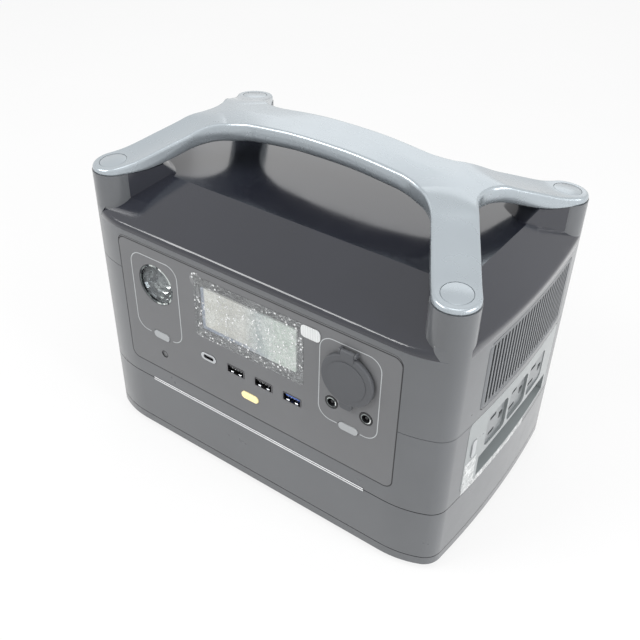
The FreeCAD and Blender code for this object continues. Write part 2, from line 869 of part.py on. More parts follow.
def standoff_places():
    corners = four_corners(panel_width / 2 - standoff_inset, panel_height / 2 - standoff_inset)
    return [(x, panel_z + z) for x, z in corners]


def front_plate():
    return case_ring(0, wall, panel_z - panel_height, panel_z + panel_height).common(panel_window(0))


def panel_flange():
    outer = slab("front", 0, panel_z, panel_width + 2 * flange_width, panel_height + 2 * flange_width,
                 panel_radius + flange_width, panel_back, panel_back + flange_depth)
    inner = slab("front", 0, panel_z, panel_width - 4 * flange_width, panel_height - 4 * flange_width,
                 panel_radius, panel_back, panel_back + flange_depth)
    return outer.cut(inner).common(case_prism(wall, 0, rim_height - lip_height))


def front_panel():
    out, back = front - 1, panel_back + 1
    holes = [pill(x, z, button_gap, out, back) for x, z in front_pills().values()]
    holes.append(rod(reset_radius + button_gap, V(reset_x, out, reset_z), V(reset_x, back, reset_z)))
    holes.append(rod(lamp_radius + fit_gap, V(lamp_x, out, lamp_z), V(lamp_x, back, lamp_z)))
    holes.append(slab("front", window_x, window_z, window_width + 2 * fit_gap, window_height + 2 * fit_gap,
                      window_radius, out, front + window_thickness))
    holes.append(slab("front", lcd_x, lcd_z, lcd_width + 2 * lcd_margin, lcd_height + 2 * lcd_margin, 1,
                      out, back))
    for x in usb_a_all():
        holes.append(slab("front", x, usb_z, usb_width + 2 * fit_gap, usb_height + 2 * fit_gap, 1, out, back))
    width, height = usb_c_bezel
    holes.append(slab("front", usb_c_x, usb_z, width + 2 * fit_gap, height + 2 * fit_gap, height / 2,
                      out, back))
    holes.append(rod(socket_bore + socket_wall + fit_gap, V(socket_x, out, socket_z),
                     V(socket_x, back, socket_z)))
    for x in jack_xs:
        holes.append(rod(jack_radius + fit_gap, V(x, out, jack_z), V(x, back, jack_z)))
    pillars, screw_holes = [], []
    for x, z in standoff_places():
        pillars.append(rod(standoff_radius, V(x, panel_back - 0.5, z), V(x, board_face, z)))
        screw_holes.append(rod(pin_screw_radius + screw_gap, V(x, board_face - board_screw_length - 1, z),
                               V(x, board_face + 1, z)))
    body = front_plate().cut(holes).fuse([panel_flange()] + pillars).cut(screw_holes)
    return body.removeSplitter()


def rear_panel():
    return mirror_y(fused([front_plate(), panel_flange()]))


def button(x, z):
    """Pill-shaped cap with a flange that keeps it behind the panel."""
    cap = pill(x, z, 0, front - button_proud, panel_back + button_tail)
    flange = pill(x, z, button_flange, panel_back + button_gap, panel_back + button_flange_back)
    return cap.fuse(flange).removeSplitter()


def reset_button():
    cap = rod(reset_radius, V(reset_x, front + reset_sunk, reset_z),
              V(reset_x, panel_back + button_tail, reset_z))
    flange = rod(reset_radius + button_flange, V(reset_x, panel_back + button_gap, reset_z),
                 V(reset_x, panel_back + button_flange_back, reset_z))
    return cap.fuse(flange).removeSplitter()


def tact_switches():
    """Long-stem switches on the front board, one behind each button."""
    tip = panel_back + button_tail + button_travel + button_gap
    half = switch_size / 2
    switches = []
    for x, z in list(front_pills().values()) + [(reset_x, reset_z)]:
        body = box(x - half, x + half, board_face - switch_height, board_face, z - half, z + half)
        stem = rod(switch_stem_radius, V(x, tip, z), V(x, board_face - switch_height / 2, z))
        switches.append(body.fuse(stem))
    return group(switches + [outlet_switch()])


def front_board():
    width, height = panel_width - 2 * board_margin, panel_height - 2 * board_margin
    body = slab("front", 0, panel_z, width, height, 2, board_face, board_face + board_thickness)
    low, high = board_face - 1, board_face + 5
    holes = [rod(socket_bore + socket_wall + 1, V(socket_x, low, socket_z), V(socket_x, high, socket_z))]
    for x, z in standoff_places():
        holes.append(rod(pin_screw_radius + screw_gap, V(x, low, z), V(x, high, z)))
    return body.cut(holes)


def board_screws():
    back = board_face + board_thickness
    screws = []
    for x, z in standoff_places():
        head = rod(2.2 * pin_screw_radius, V(x, back, z), V(x, back + board_thickness, z))
        screws.append(head.fuse(rod(pin_screw_radius, V(x, back - board_screw_length, z), V(x, back + 0.2, z))))
    return group(screws)


def ring_about_y(x, z, profile):
    """Ring about an axis along Y; profile lists (radius, y) pairs of its section."""
    points = [V(x + r, y, z) for r, y in profile]
    face = Part.Face(Part.makePolygon(points + [points[0]]))
    return face.revolve(V(x, 0, z), V(0, 1, 0), 360)


def lamp_reflector():
    rim, seat, focus = front + lamp_rim_sunk, front + lens_back, board_face - lamp_led_height
    mouth = lamp_radius - lamp_wall
    steps = 8
    inner = [(mouth, rim), (mouth, seat)]
    for i in range(1, steps + 1):
        part = i / steps
        narrowing = math.sqrt(1 - part) * (mouth - lamp_throat)
        inner.append((lamp_throat + narrowing, seat + (focus - seat) * part))
    outer = [(r + lamp_wall, y) for r, y in reversed(inner)]
    return ring_about_y(lamp_x, lamp_z, inner + outer)


def lamp_lens():
    return rod(lamp_radius - lamp_wall - fit_gap, V(lamp_x, front + lens_front, lamp_z),
               V(lamp_x, front + lens_back, lamp_z))


def lamp_led():
    middle, tip = board_face - lamp_led_height / 2, board_face - lamp_led_height
    star = rod(lamp_radius / 2, V(lamp_x, middle, lamp_z), V(lamp_x, board_face, lamp_z))
    base = rod(lamp_led_radius, V(lamp_x, tip, lamp_z), V(lamp_x, middle, lamp_z))
    dome = Part.makeSphere(lamp_led_radius - 1, V(lamp_x, tip, lamp_z))
    return fused([star, base, dome])


def display_window():
    return slab("front", window_x, window_z, window_width, window_height, window_radius - fit_gap,
                front, front + window_thickness)


def lcd_pane():
    return slab("front", lcd_x, lcd_z, lcd_width, lcd_height, 0.5, front + window_thickness, panel_back)


def display_module():
    back = panel_back + module_thickness
    body = slab("front", lcd_x, lcd_z, lcd_width + 2 * module_edge, lcd_height + 2 * module_edge, 1,
                panel_back, back)
    half = lcd_width / 2 - module_edge
    pins = [box(lcd_x - half, lcd_x + half, back - 0.5, board_face, z - 1, z + 1)
            for z in (lcd_z - lcd_height / 2, lcd_z + lcd_height / 2)]
    return fused([body] + pins)


def screen_film():
    return slab("front", window_x, window_z, window_width, window_height, 1.5, front - film_thickness, front)


def film_tab():
    low = front - 2 * film_thickness
    return slab("front", tab_x, tab_z, tab_width, tab_height, 3, low, front - film_thickness)


def usb_shell(x, z, width, height, radius, thickness):
    outer = slab("front", x, z, width, height, radius, front - port_proud, board_face)
    inner = slab("front", x, z, width - 2 * thickness, height - 2 * thickness, max(radius - thickness, 0.1),
                 front - 1, front + usb_depth)
    return outer.cut(inner)


def usb_shells():
    shells = [usb_shell(x, usb_z, usb_width, usb_height, 0.6, usb_wall) for x in usb_a_all()]
    return group(shells + [usb_c_shell()])


def usb_tongue(x):
    half, low = usb_tongue_width / 2, usb_z + 0.4
    return box(x - half, x + half, front + 1.0, front + usb_depth, low, low + usb_tongue_height)


def usb_c_port():
    width, height = usb_c_bezel
    bezel = slab("front", usb_c_x, usb_z, width, height, height / 2, front - port_proud, board_face)
    width, height = usb_c_mouth
    mouth = slab("front", usb_c_x, usb_z, width, height, height / 2, front - 1, front + usb_c_depth)
    return bezel.cut(mouth)


def usb_c_shell():
    width, height = usb_c_mouth
    outer = slab("front", usb_c_x, usb_z, width, height, height / 2, front - port_proud, front + usb_c_depth)
    width, height = width - 2 * usb_c_wall, height - 2 * usb_c_wall
    inner = slab("front", usb_c_x, usb_z, width, height, height / 2, front - 1, front + usb_c_depth - 1)
    half_width, half_height = usb_c_tongue[0] / 2, usb_c_tongue[1] / 2
    tongue = box(usb_c_x - half_width, usb_c_x + half_width, front + 0.8, front + usb_c_depth - 0.5,
                 usb_z - half_height, usb_z + half_height)
    return outer.cut(inner).fuse(tongue)


def car_socket():
    axis = [V(socket_x, y, socket_z) for y in (front - socket_flange_proud, front, front + socket_length)]
    outer = rod(socket_bore + socket_wall, axis[0], axis[2])
    flange = rod(socket_flange, axis[0], axis[1])
    bore = rod(socket_bore, axis[0] + V(0, -1, 0), axis[2] - V(0, socket_wall, 0))
    contact = rod(socket_contact_radius, axis[2] - V(0, socket_wall + socket_contact_length, 0), axis[2])
    return outer.fuse(flange).cut(bore).fuse(contact).removeSplitter()


def cap_axis():
    """Hinge of the cap, in front of the panel and above the socket."""
    y = front - socket_flange_proud - button_gap - cap_hinge_radius
    return y, socket_z + cap_hinge_rise


def socket_cap():
    y_axis, z_axis = cap_axis()
    back = front - socket_flange_proud - button_gap
    face = back - cap_disc_thickness
    disc = rod(cap_disc_radius, V(socket_x, face, socket_z), V(socket_x, back, socket_z))
    round_edge = [e for e in disc.Edges if e.BoundBox.YMax < face + 0.01]
    disc = disc.makeFillet(cap_edge_round, round_edge)
    raised = rod(cap_disc_radius - cap_raise_margin, V(socket_x, face - cap_raise, socket_z),
                 V(socket_x, back, socket_z))
    boss = rod(socket_bore - cap_swing_gap, V(socket_x, back - 1, socket_z),
               V(socket_x, back + cap_boss_depth, socket_z))
    half = cap_ear_width / 2
    arm = box(socket_x - half, socket_x + half, y_axis - cap_hinge_radius, y_axis + cap_hinge_radius,
              socket_z + cap_disc_radius - 3, z_axis)
    knuckle = rod(cap_hinge_radius, V(socket_x - half, y_axis, z_axis), V(socket_x + half, y_axis, z_axis))
    tab = slab("front", socket_x, socket_z - cap_disc_radius, cap_ear_width, cap_tab_height, 2.5,
               face + 0.6, back - 0.6)
    pin_hole = rod(cap_pin_radius + cap_pin_gap, V(socket_x - half - 1, y_axis, z_axis),
                   V(socket_x + half + 1, y_axis, z_axis))
    return fused([disc, raised, boss, arm, knuckle, tab]).cut(pin_hole)


def cap_hinge():
    """Two cheeks on the panel with the pin that carries the cap."""
    y_axis, z_axis = cap_axis()
    inner = cap_ear_width / 2 + button_gap
    outer = inner + cap_cheek
    cheeks = []
    for sign in (-1, 1):
        x0, x1 = sorted((socket_x + sign * inner, socket_x + sign * outer))
        cheeks.append(box(x0, x1, y_axis, front, z_axis - cap_hinge_radius, z_axis + cap_hinge_radius))
        cheeks.append(rod(cap_hinge_radius, V(x0, y_axis, z_axis), V(x1, y_axis, z_axis)))
    pin = rod(cap_pin_radius, V(socket_x - outer, y_axis, z_axis), V(socket_x + outer, y_axis, z_axis))
    return fused(cheeks + [pin])


def dc_jacks():
    jacks = []
    for x in jack_xs:
        tube = rod(jack_radius, V(x, front - port_proud, jack_z), V(x, board_face, jack_z))
        bore = rod(jack_bore, V(x, front - 1, jack_z), V(x, front + jack_depth, jack_z))
        pin = rod(jack_pin, V(x, front + 0.8, jack_z), V(x, front + jack_depth + 1, jack_z))
        jacks.append(tube.cut(bore).fuse(pin))
    return group(jacks)


# ---------- sides ----------

def side_plate(low, high, start, end):
    return case_ring(0, wall, low - 1, high + 1).common(side_window(low, high, start, end, 0))


def scoop_wedge():
    """Finger scoop: flush at its top, deepest at its foot."""
    foot = side_panel_low + scoop_ledge
    outside = side + 4 * wall
    points = [V(side - scoop_depth, scoop_front, foot), V(side + 1, scoop_front, scoop_top),
              V(outside, scoop_front, scoop_top), V(outside, scoop_front, foot),
              V(side - scoop_depth, scoop_front, foot)]
    return Part.Face(Part.makePolygon(points)).extrude(V(0, scoop_back - scoop_front, 0))


def outlet_face():
    return side - outlet_recess


def ac_panel():
    thick = scoop_depth + scoop_wall
    plate = side_plate(side_panel_low, split_right, side_panel_front, side_panel_back)
    block = case_ring(0, thick + 2, side_panel_low, scoop_top).common(
        box(0, side + wall, scoop_front - scoop_wall, scoop_back + scoop_wall, side_panel_low, scoop_top))
    body = plate.fuse(block).cut([scoop_wedge()])
    holes = [slab("side", y, outlet_z, outlet_width + 2 * fit_gap, outlet_height + 2 * fit_gap, outlet_radius,
                  side - 4 * wall, side + wall) for y in outlet_ys]
    holes.append(slab("side", ac_button_y, ac_button_z, button_height + 2 * button_gap,
                      button_width + 2 * button_gap, button_height, side - 4 * wall, side + wall))
    return body.cut(holes).removeSplitter()


def ac_outlets():
    """Three-pin outlets, turned so that the ground hole is towards the back."""
    face = outlet_face()
    seat = side - wall - side_bow(outlet_ys[-1] + outlet_width / 2) - 0.1
    floor = face - outlet_hole_depth
    outlets = []
    for y in outlet_ys:
        body = slab("side", y, outlet_z, outlet_width, outlet_height, outlet_radius - fit_gap,
                    face - outlet_depth, face)
        flange = slab("side", y, outlet_z, outlet_width + 2 * outlet_flange_grow, outlet_height - 4, 3,
                      face - outlet_depth, seat)
        holes = []
        for sign in (-1, 1):
            holes.append(slab("side", y + blade_shift, outlet_z + sign * blade_spacing / 2, blade_length,
                              blade_thickness, 0.4, floor, face + 1))
        y_ground = y + ground_shift
        holes.append(rod(ground_radius, V(floor, y_ground, outlet_z), V(face + 1, y_ground, outlet_z)))
        holes.append(box(floor, face + 1, y_ground - ground_radius, y_ground,
                         outlet_z - ground_radius, outlet_z + ground_radius))
        outlets.append(body.fuse(flange).cut(holes).removeSplitter())
    return group(outlets)


def side_bow(y):
    """How far the side wall has curved in at a distance y from its middle."""
    edge = side - post_x
    radius = (edge ** 2 + post_y ** 2 - corner_radius ** 2) / (2 * (edge - corner_radius))
    return radius - math.sqrt(radius ** 2 - y ** 2)


def ac_button():
    surface = side - side_bow(ac_button_y)
    back = surface - wall
    cap = slab("side", ac_button_y, ac_button_z, button_height, button_width, button_height / 2,
               back - button_tail, surface + button_proud)
    flange = slab("side", ac_button_y, ac_button_z, button_height + 2 * button_flange,
                  button_width + 2 * button_flange, button_height / 2 + button_flange,
                  back - button_flange_back - button_gap, back - 2 * button_gap)
    return cap.fuse(flange).removeSplitter()


def outlet_switch():
    """Switch and its bracket behind the outlet button, standing on the case floor."""
    back = side - side_bow(ac_button_y) - wall
    tip = back - button_tail - button_travel - button_gap
    y, z = ac_button_y, ac_button_z
    half = switch_size / 2
    x_back = tip - 2 * switch_height
    stem = rod(switch_stem_radius, V(tip, y, z), V(x_back, y, z))
    body = box(x_back, x_back + switch_height, y - half, y + half, z - half, z + half)
    plate = box(x_back - 2, x_back, y - half - 4, y + half + 1, floor_top, z + half + 5)
    return fused([stem, body, plate])


def ledge_film():
    """Thin protective film left on the front edge and the foot of the outlet panel."""
    low = main_seam + 0.8
    outer = case_prism(-film_thickness, low, ac_button_z)
    skin = outer.cut(case_prism(0, low - 1, ac_button_z + 1))
    upright = skin.common(box(0, side + wall, side_panel_front + 1, scoop_front - 4, 0, ac_button_z - 9))
    foot = skin.common(box(0, side + wall, side_panel_front + 1, film_back, 0, main_seam + film_rise))
    return upright.fuse(foot).removeSplitter()


def grille(low):
    """Vent plate with a row of upright slots."""
    plate = side_plate(low, vent_high, vent_front, vent_back)
    count = int((vent_length - 2 * vent_margin) / vent_pitch)
    slots = []
    for i in range(count):
        y = vent_y + (i - (count - 1) / 2) * vent_pitch
        slots.append(slab("side", y, (low + vent_high) / 2, vent_slot, vent_high - low - 2 * vent_margin,
                          vent_slot / 2, side - 4 * wall, side + wall))
    frame = case_ring(wall, vent_frame, low - vent_lap, vent_high + panel_gap).common(
        box(0, side, vent_front - vent_lap, vent_back + vent_lap, 0, overall_height))
    frame = frame.cut(case_ring(0, 4 * wall, low + 1, vent_high - 1).common(
        box(0, side + wall, vent_front + 1, vent_back - 1, 0, overall_height)))
    frame = frame.cut([rod(corner_radius + fit_gap, V(post_x, y, 0), V(post_x, y, overall_height))
                       for y in (-post_y, post_y)])
    return plate.cut(slots).fuse(frame).removeSplitter()


def fan_grille():
    """Right vent plate with the pillars that the fans are screwed to."""
    x_fan = fan_places()[1]
    pillars = []
    reach = fan_size / 2 - fan_pillar_inset
    for fan_y in fan_ys:
        for dy, dz in four_corners(reach, reach):
            y, z = fan_y + dy, fan_z + dz
            x_wall = side - wall - side_bow(y) + 0.5
            pillars.append(rod(fan_pillar_radius, V(x_fan, y, z), V(x_wall, y, z)))
    return grille(vent_low).fuse(pillars).removeSplitter()


def input_panel():
    plate = side_plate(side_panel_low, split_left, side_panel_front, side_panel_back)
    holes = [slab("side", inlet_y, inlet_z, inlet_width + 2 * fit_gap, inlet_height + 2 * fit_gap,
                  inlet_radius, side - 4 * wall, side + wall),
             slab("side", solar_y, inlet_z, solar_width + 2 * fit_gap, solar_height + 2 * fit_gap,
                  solar_radius, side - 4 * wall, side + wall)]
    return mirror_x(plate.cut(holes))


def ac_inlet():
    """Three-pin appliance inlet with its pins inside a shroud."""
    face = side - inlet_sunk
    floor = face - inlet_mouth_depth
    body = slab("side", inlet_y, inlet_z, inlet_width, inlet_height, inlet_radius - fit_gap,
                face - inlet_depth, face)
    flange = slab("side", inlet_y, inlet_z, inlet_width + 2 * inlet_lap, inlet_height + 2 * inlet_lap,
                  inlet_radius, face - inlet_flange, side - wall - 1.0)
    mouth = slab("side", inlet_y, inlet_z, inlet_width - 2 * inlet_rim, inlet_height - 2 * inlet_rim,
                 inlet_radius, floor, face + 1)
    places = [(k * inlet_pin_spacing, inlet_pin_drop * (1 - 2 * abs(k))) for k in (-1, 0, 1)]
    pins = [box(floor - 1, face - 4, inlet_y + dy - 1, inlet_y + dy + 1, inlet_z + dz - 2, inlet_z + dz + 2)
            for dy, dz in places]
    return mirror_x(body.fuse(flange).cut(mouth).fuse(pins))


def solar_inlet():
    """Two-pin direct-current inlet."""
    face = side - inlet_sunk
    floor = face - solar_mouth_depth
    body = slab("side", solar_y, inlet_z, solar_width, solar_height, solar_radius - fit_gap,
                face - solar_depth, face)
    flange = slab("side", solar_y, inlet_z, solar_width + 2 * inlet_lap, solar_height + 2 * inlet_lap,
                  solar_radius, face - inlet_flange, side - wall - 1.0)
    mouth = slab("side", solar_y, inlet_z, solar_width - 2 * solar_rim, solar_height - 2 * solar_rim,
                 solar_radius - solar_rim, floor, face + 1)
    pins = [rod(solar_pin_radius, V(floor - 1, solar_y + dy, inlet_z), V(face - 2, solar_y + dy, inlet_z))
            for dy in (-solar_pin_reach, solar_pin_reach)]
    return mirror_x(body.fuse(flange).cut(mouth).fuse(pins))


# ---------- inside ----------

def cell_places(columns, rows, x, first_z):
    return [(x + (i - (columns - 1) / 2) * cell_pitch, first_z + j * cell_pitch)
            for i in range(columns) for j in range(rows)]


def cells(places, start):
    return [rod(cell_radius, V(x, start, z), V(x, start + cell_length, z)) for x, z in places]


def holder(places, low_z, high_z, start, margin):
    xs = [x for x, z in places]
    reach = cell_radius + margin
    body = box(min(xs) - reach, max(xs) + reach, start, start + holder_thickness, low_z, high_z)
    return body.cut([rod(cell_radius + 0.05, V(x, start - 1, z), V(x, start + holder_thickness + 1, z))
                     for x, z in places])


def strips(places, y):
    columns = sorted({round(x, 3) for x, z in places})
    zs = [z for x, z in places]
    return [box(x - strip_width / 2, x + strip_width / 2, y, y + strip_thickness, min(zs) - 4, max(zs) + 4)
            for x in columns]


def pack_places():
    return cell_places(pack_columns, pack_rows, pack_x, floor_top + cell_radius + cell_lift)


def module_places():
    low = foot_height + floor_thickness
    return cell_places(module_columns, module_rows, module_x, low + cell_radius + cell_lift)


def pack_half_width():
    return (pack_columns - 1) * cell_pitch / 2 + cell_radius + holder_margin


def cell_holders():
    back = pack_front + cell_length
    near = holder(pack_places(), floor_top, inverter_z, pack_front, holder_margin)
    far = holder(pack_places(), floor_top, inverter_z, back - holder_thickness, holder_margin)
    bosses = []
    for sx in (-1, 1):
        for z in (floor_top + 10, inverter_z - 14):
            x = pack_x + sx * (pack_half_width() - holder_margin / 2)
            bosses.append(rod(standoff_radius, V(x, pack_front - pack_board_gap, z), V(x, pack_front + 1, z)))
    return group([fused([near] + bosses), far])


def battery_board():
    half = pack_half_width()
    back = pack_front - pack_board_gap
    return box(pack_x - half, pack_x + half, back - board_thickness, back, floor_top + 5, inverter_z - 9)


def module_holders():
    low = foot_height + floor_thickness
    high = main_seam - groove / 2 - deck
    near = module_split / 2
    starts = (-near - cell_length, -near - holder_thickness, near, near + cell_length - holder_thickness)
    return group([holder(module_places(), low, high, y, holder_margin) for y in starts])


def module_board():
    x = module_board_x()
    low = foot_height + floor_thickness + board_post_height
    half_x, half_y = module_board_width / 2, module_board_depth / 2
    return box(x - half_x, x + half_x, -half_y, half_y, low, low + board_thickness)


def dock_connector():
    """Plug between the battery in the base and the electronics above."""
    body = dock_hole(0, main_seam - deck - dock_reach, floor_top + dock_reach)
    flange = dock_hole(dock_flange, floor_top, floor_top + 2)
    return fused([body, flange])


def inverter_board():
    return box(*inverter_x, *inverter_y, inverter_z, inverter_z + board_thickness)


def power_devices():
    """Power transistors that sit between the board and the heat sink."""
    top = inverter_z + board_thickness
    half_x, half_y, height = device_size[0] / 2, device_size[1] / 2, device_size[2]
    devices = []
    for i in range(device_count):
        x = (i - (device_count - 1) / 2) * device_pitch
        devices += [box(x - half_x, x + half_x, y - half_y, y + half_y, top, top + height) for y in device_ys]
    return group(devices)


def heat_sink():
    low = inverter_z + board_thickness + device_size[2]
    base = box(*sink_x, *sink_y, low, low + sink_base)
    pitch = (sink_y[1] - sink_y[0] - sink_fin) / (sink_fins - 1)
    fins = []
    for i in range(sink_fins):
        y = sink_y[0] + i * pitch
        fins.append(box(*sink_x, y, y + sink_fin, low + sink_base / 2, vent_high))
    return fused([base] + fins)


def fan_places():
    x_high = side - wall - side_bow(vent_back) - 1.6
    return x_high - fan_depth, x_high


def fan_frame(y):
    """Square fan housing with a motor plate on four arms."""
    x0, x1 = fan_places()
    bore = fan_size / 2 - fan_wall
    body = slab("side", y, fan_z, fan_size, fan_size, 3, x0, x1)
    body = body.cut(rod(bore, V(x0 - 1, y, fan_z), V(x1 + 1, y, fan_z)))
    plate = rod(fan_hub_radius + 1, V(x0, y, fan_z), V(x0 + fan_plate, y, fan_z))
    arms = []
    for k in range(4):
        bar = box(x0, x0 + fan_plate, y - 1.2, y + 1.2, fan_z, fan_z + bore + 0.6)
        bar.rotate(V(x0, y, fan_z), V(1, 0, 0), 45 + 90 * k)
        arms.append(bar)
    shaft = rod(fan_shaft_radius, V(x0, y, fan_z), V(x1 - 4, y, fan_z))
    return fused([body, plate, shaft] + arms)


def fan_rotor(y):
    x0, x1 = fan_places()
    back, tip = x0 + fan_plate + 0.6, fan_size / 2 - fan_wall - fan_tip_gap
    hub = rod(fan_hub_radius, V(back, y, fan_z), V(x1 - 2, y, fan_z))
    bore = rod(fan_shaft_radius + fan_shaft_gap, V(back - 1, y, fan_z), V(x1 - 3.4, y, fan_z))
    blades = []
    for k in range(fan_blades):
        blade = box(-blade_chord / 2, blade_chord / 2, -0.6, 0.6, fan_hub_radius - 1, tip)
        blade.rotate(V(0, 0, 0), V(0, 0, 1), blade_pitch)
        blade.translate(V((back + x1 - 2) / 2, y, fan_z))
        blade.rotate(V(0, y, fan_z), V(1, 0, 0), 360 * k / fan_blades)
        blades.append(blade)
    ring = rod(tip, V(x0, y, fan_z), V(x1, y, fan_z))
    return fused([hub] + blades).common(ring).cut(bore)


def fan_frames():
    return group([fan_frame(y) for y in fan_ys])


def busbars():
    """Bars from the cell strips up to the inverter board."""
    y = pack_front + cell_length + strip_thickness
    half = busbar_width / 2
    return [box(x - half, x + half, y, y + busbar_thickness, inverter_z - busbar_length, inverter_z)
            for x in (pack_x - busbar_x, pack_x + busbar_x)]


def build():
    os.makedirs("parts", exist_ok=True)
    save("middle_case", middle_case())
    save("upper_case", upper_case())
    save("roof_cover", roof_cover())
    save("handle", handle())
    save("handle_grip", handle_grip())
    save("handle_screws", handle_screws())
    save("handle_caps", handle_caps())
    save("base_case", base_case())
    save("base_tray", base_tray())
    save("feet", feet())
    save("tray_screws", tray_screws())
    save("seam_trim", seam_trim())

    save("front_panel", front_panel())
    save("rear_panel", rear_panel())
    for name, (x, z) in front_pills().items():
        save(name, button(x, z))
    save("reset_button", reset_button())
    save("tact_switches", tact_switches())
    save("front_board", front_board())
    save("board_screws", board_screws())
    save("lamp_reflector", lamp_reflector())
    save("lamp_lens", lamp_lens())
    save("lamp_led", lamp_led())
    save("display_window", display_window())
    save("lcd_pane", lcd_pane())
    save("display_module", display_module())
    save("screen_film", screen_film())
    save("film_tab", film_tab())
    save("usb_shells", usb_shells())
    save("usb_a_tongues", group([usb_tongue(x) for x in usb_a_xs]))
    save("usb_fast_tongue", usb_tongue(usb_fast_x))
    save("usb_c_port", usb_c_port())
    save("car_socket", car_socket())
    save("socket_cap", socket_cap())
    save("cap_hinge", cap_hinge())
    save("dc_jacks", dc_jacks())

    save("ac_panel", ac_panel())
    save("ac_outlets", ac_outlets())
    save("ac_button", ac_button())
    save("ledge_film", ledge_film())
    save("right_grille", fan_grille())
    save("left_grille", mirror_x(grille(vent_low_left)))
    save("input_panel", input_panel())
    save("ac_inlet", ac_inlet())
    save("solar_inlet", solar_inlet())

    pack = pack_places()
    pack_back = pack_front + cell_length
    save("battery_cells", group(cells(pack, pack_front)))
    save("cell_holders", cell_holders())
    strip_pairs = strips(pack, pack_front - strip_thickness) + strips(pack, pack_back)
    save("cell_strips", group(strip_pairs + busbars()))
    save("battery_board", battery_board())
    save("inverter_board", inverter_board())
    save("power_devices", power_devices())
    save("heat_sink", heat_sink())
    save("fan_frames", fan_frames())
    save("fan_rotor_front", fan_rotor(fan_ys[0]))
    save("fan_rotor_rear", fan_rotor(fan_ys[1]))
    places = module_places()
    near = module_split / 2
    save("module_cells", group(cells(places, -near - cell_length) + cells(places, near)))
    save("module_holders", module_holders())
    save("module_board", module_board())
    save("dock_connector", dock_connector())


build()
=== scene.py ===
import json
import math

import bmesh
import bpy
import numpy as np
from mathutils import Matrix, Vector


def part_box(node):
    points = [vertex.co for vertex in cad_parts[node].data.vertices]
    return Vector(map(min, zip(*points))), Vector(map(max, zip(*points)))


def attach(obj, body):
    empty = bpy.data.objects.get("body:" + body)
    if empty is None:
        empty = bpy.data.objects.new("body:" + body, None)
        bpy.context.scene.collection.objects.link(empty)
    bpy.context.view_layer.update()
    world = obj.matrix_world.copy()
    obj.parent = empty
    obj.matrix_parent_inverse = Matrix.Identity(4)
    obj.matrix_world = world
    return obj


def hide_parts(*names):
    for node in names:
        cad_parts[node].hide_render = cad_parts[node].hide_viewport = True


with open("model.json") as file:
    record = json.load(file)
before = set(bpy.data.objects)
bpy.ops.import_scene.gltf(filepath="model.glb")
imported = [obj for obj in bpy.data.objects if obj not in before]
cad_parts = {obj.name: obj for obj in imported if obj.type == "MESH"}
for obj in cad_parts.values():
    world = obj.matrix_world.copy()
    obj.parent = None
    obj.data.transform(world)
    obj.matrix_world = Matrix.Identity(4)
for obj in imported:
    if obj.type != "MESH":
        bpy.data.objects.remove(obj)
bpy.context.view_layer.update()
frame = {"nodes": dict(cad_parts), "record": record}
nodes = frame["nodes"]
MM = 0.001

# ---------- sizes of the object, in millimetres, as in the CAD ----------
FRONT, SIDE = -92.0, 144.5
POST_X, POST_Y = 126.7, 73.2
LEG_END_TOP, POST_TOP, TOP = 206.5, 201.5, 235.0
BAR_HALF, BAR_THICK, BAR_RADIUS = 18.0, 13.0, 600.0
LEG_HALF, LEG_AXIS_X = 13.5, 82.0
LEG_LEAN = 0.13                     # slope of the legs' ends, down towards the corners
SEAM, TRAY_SEAM = 52.5, 12.1
BULGE = 721.0                       # radius of the sides' outward bend
CORNER, SHOULDER = 14.0, 65.0       # radii of the case outline at its corners
CAP_RADIUS, CAP_THICK = 8.9, 0.9
RESET_GAP = 2.65                    # radius of the gap round the reset button
STRIP_SUNK = 0.2                    # depth of printed lines and gap lines in the wall


# ---------- materials ----------

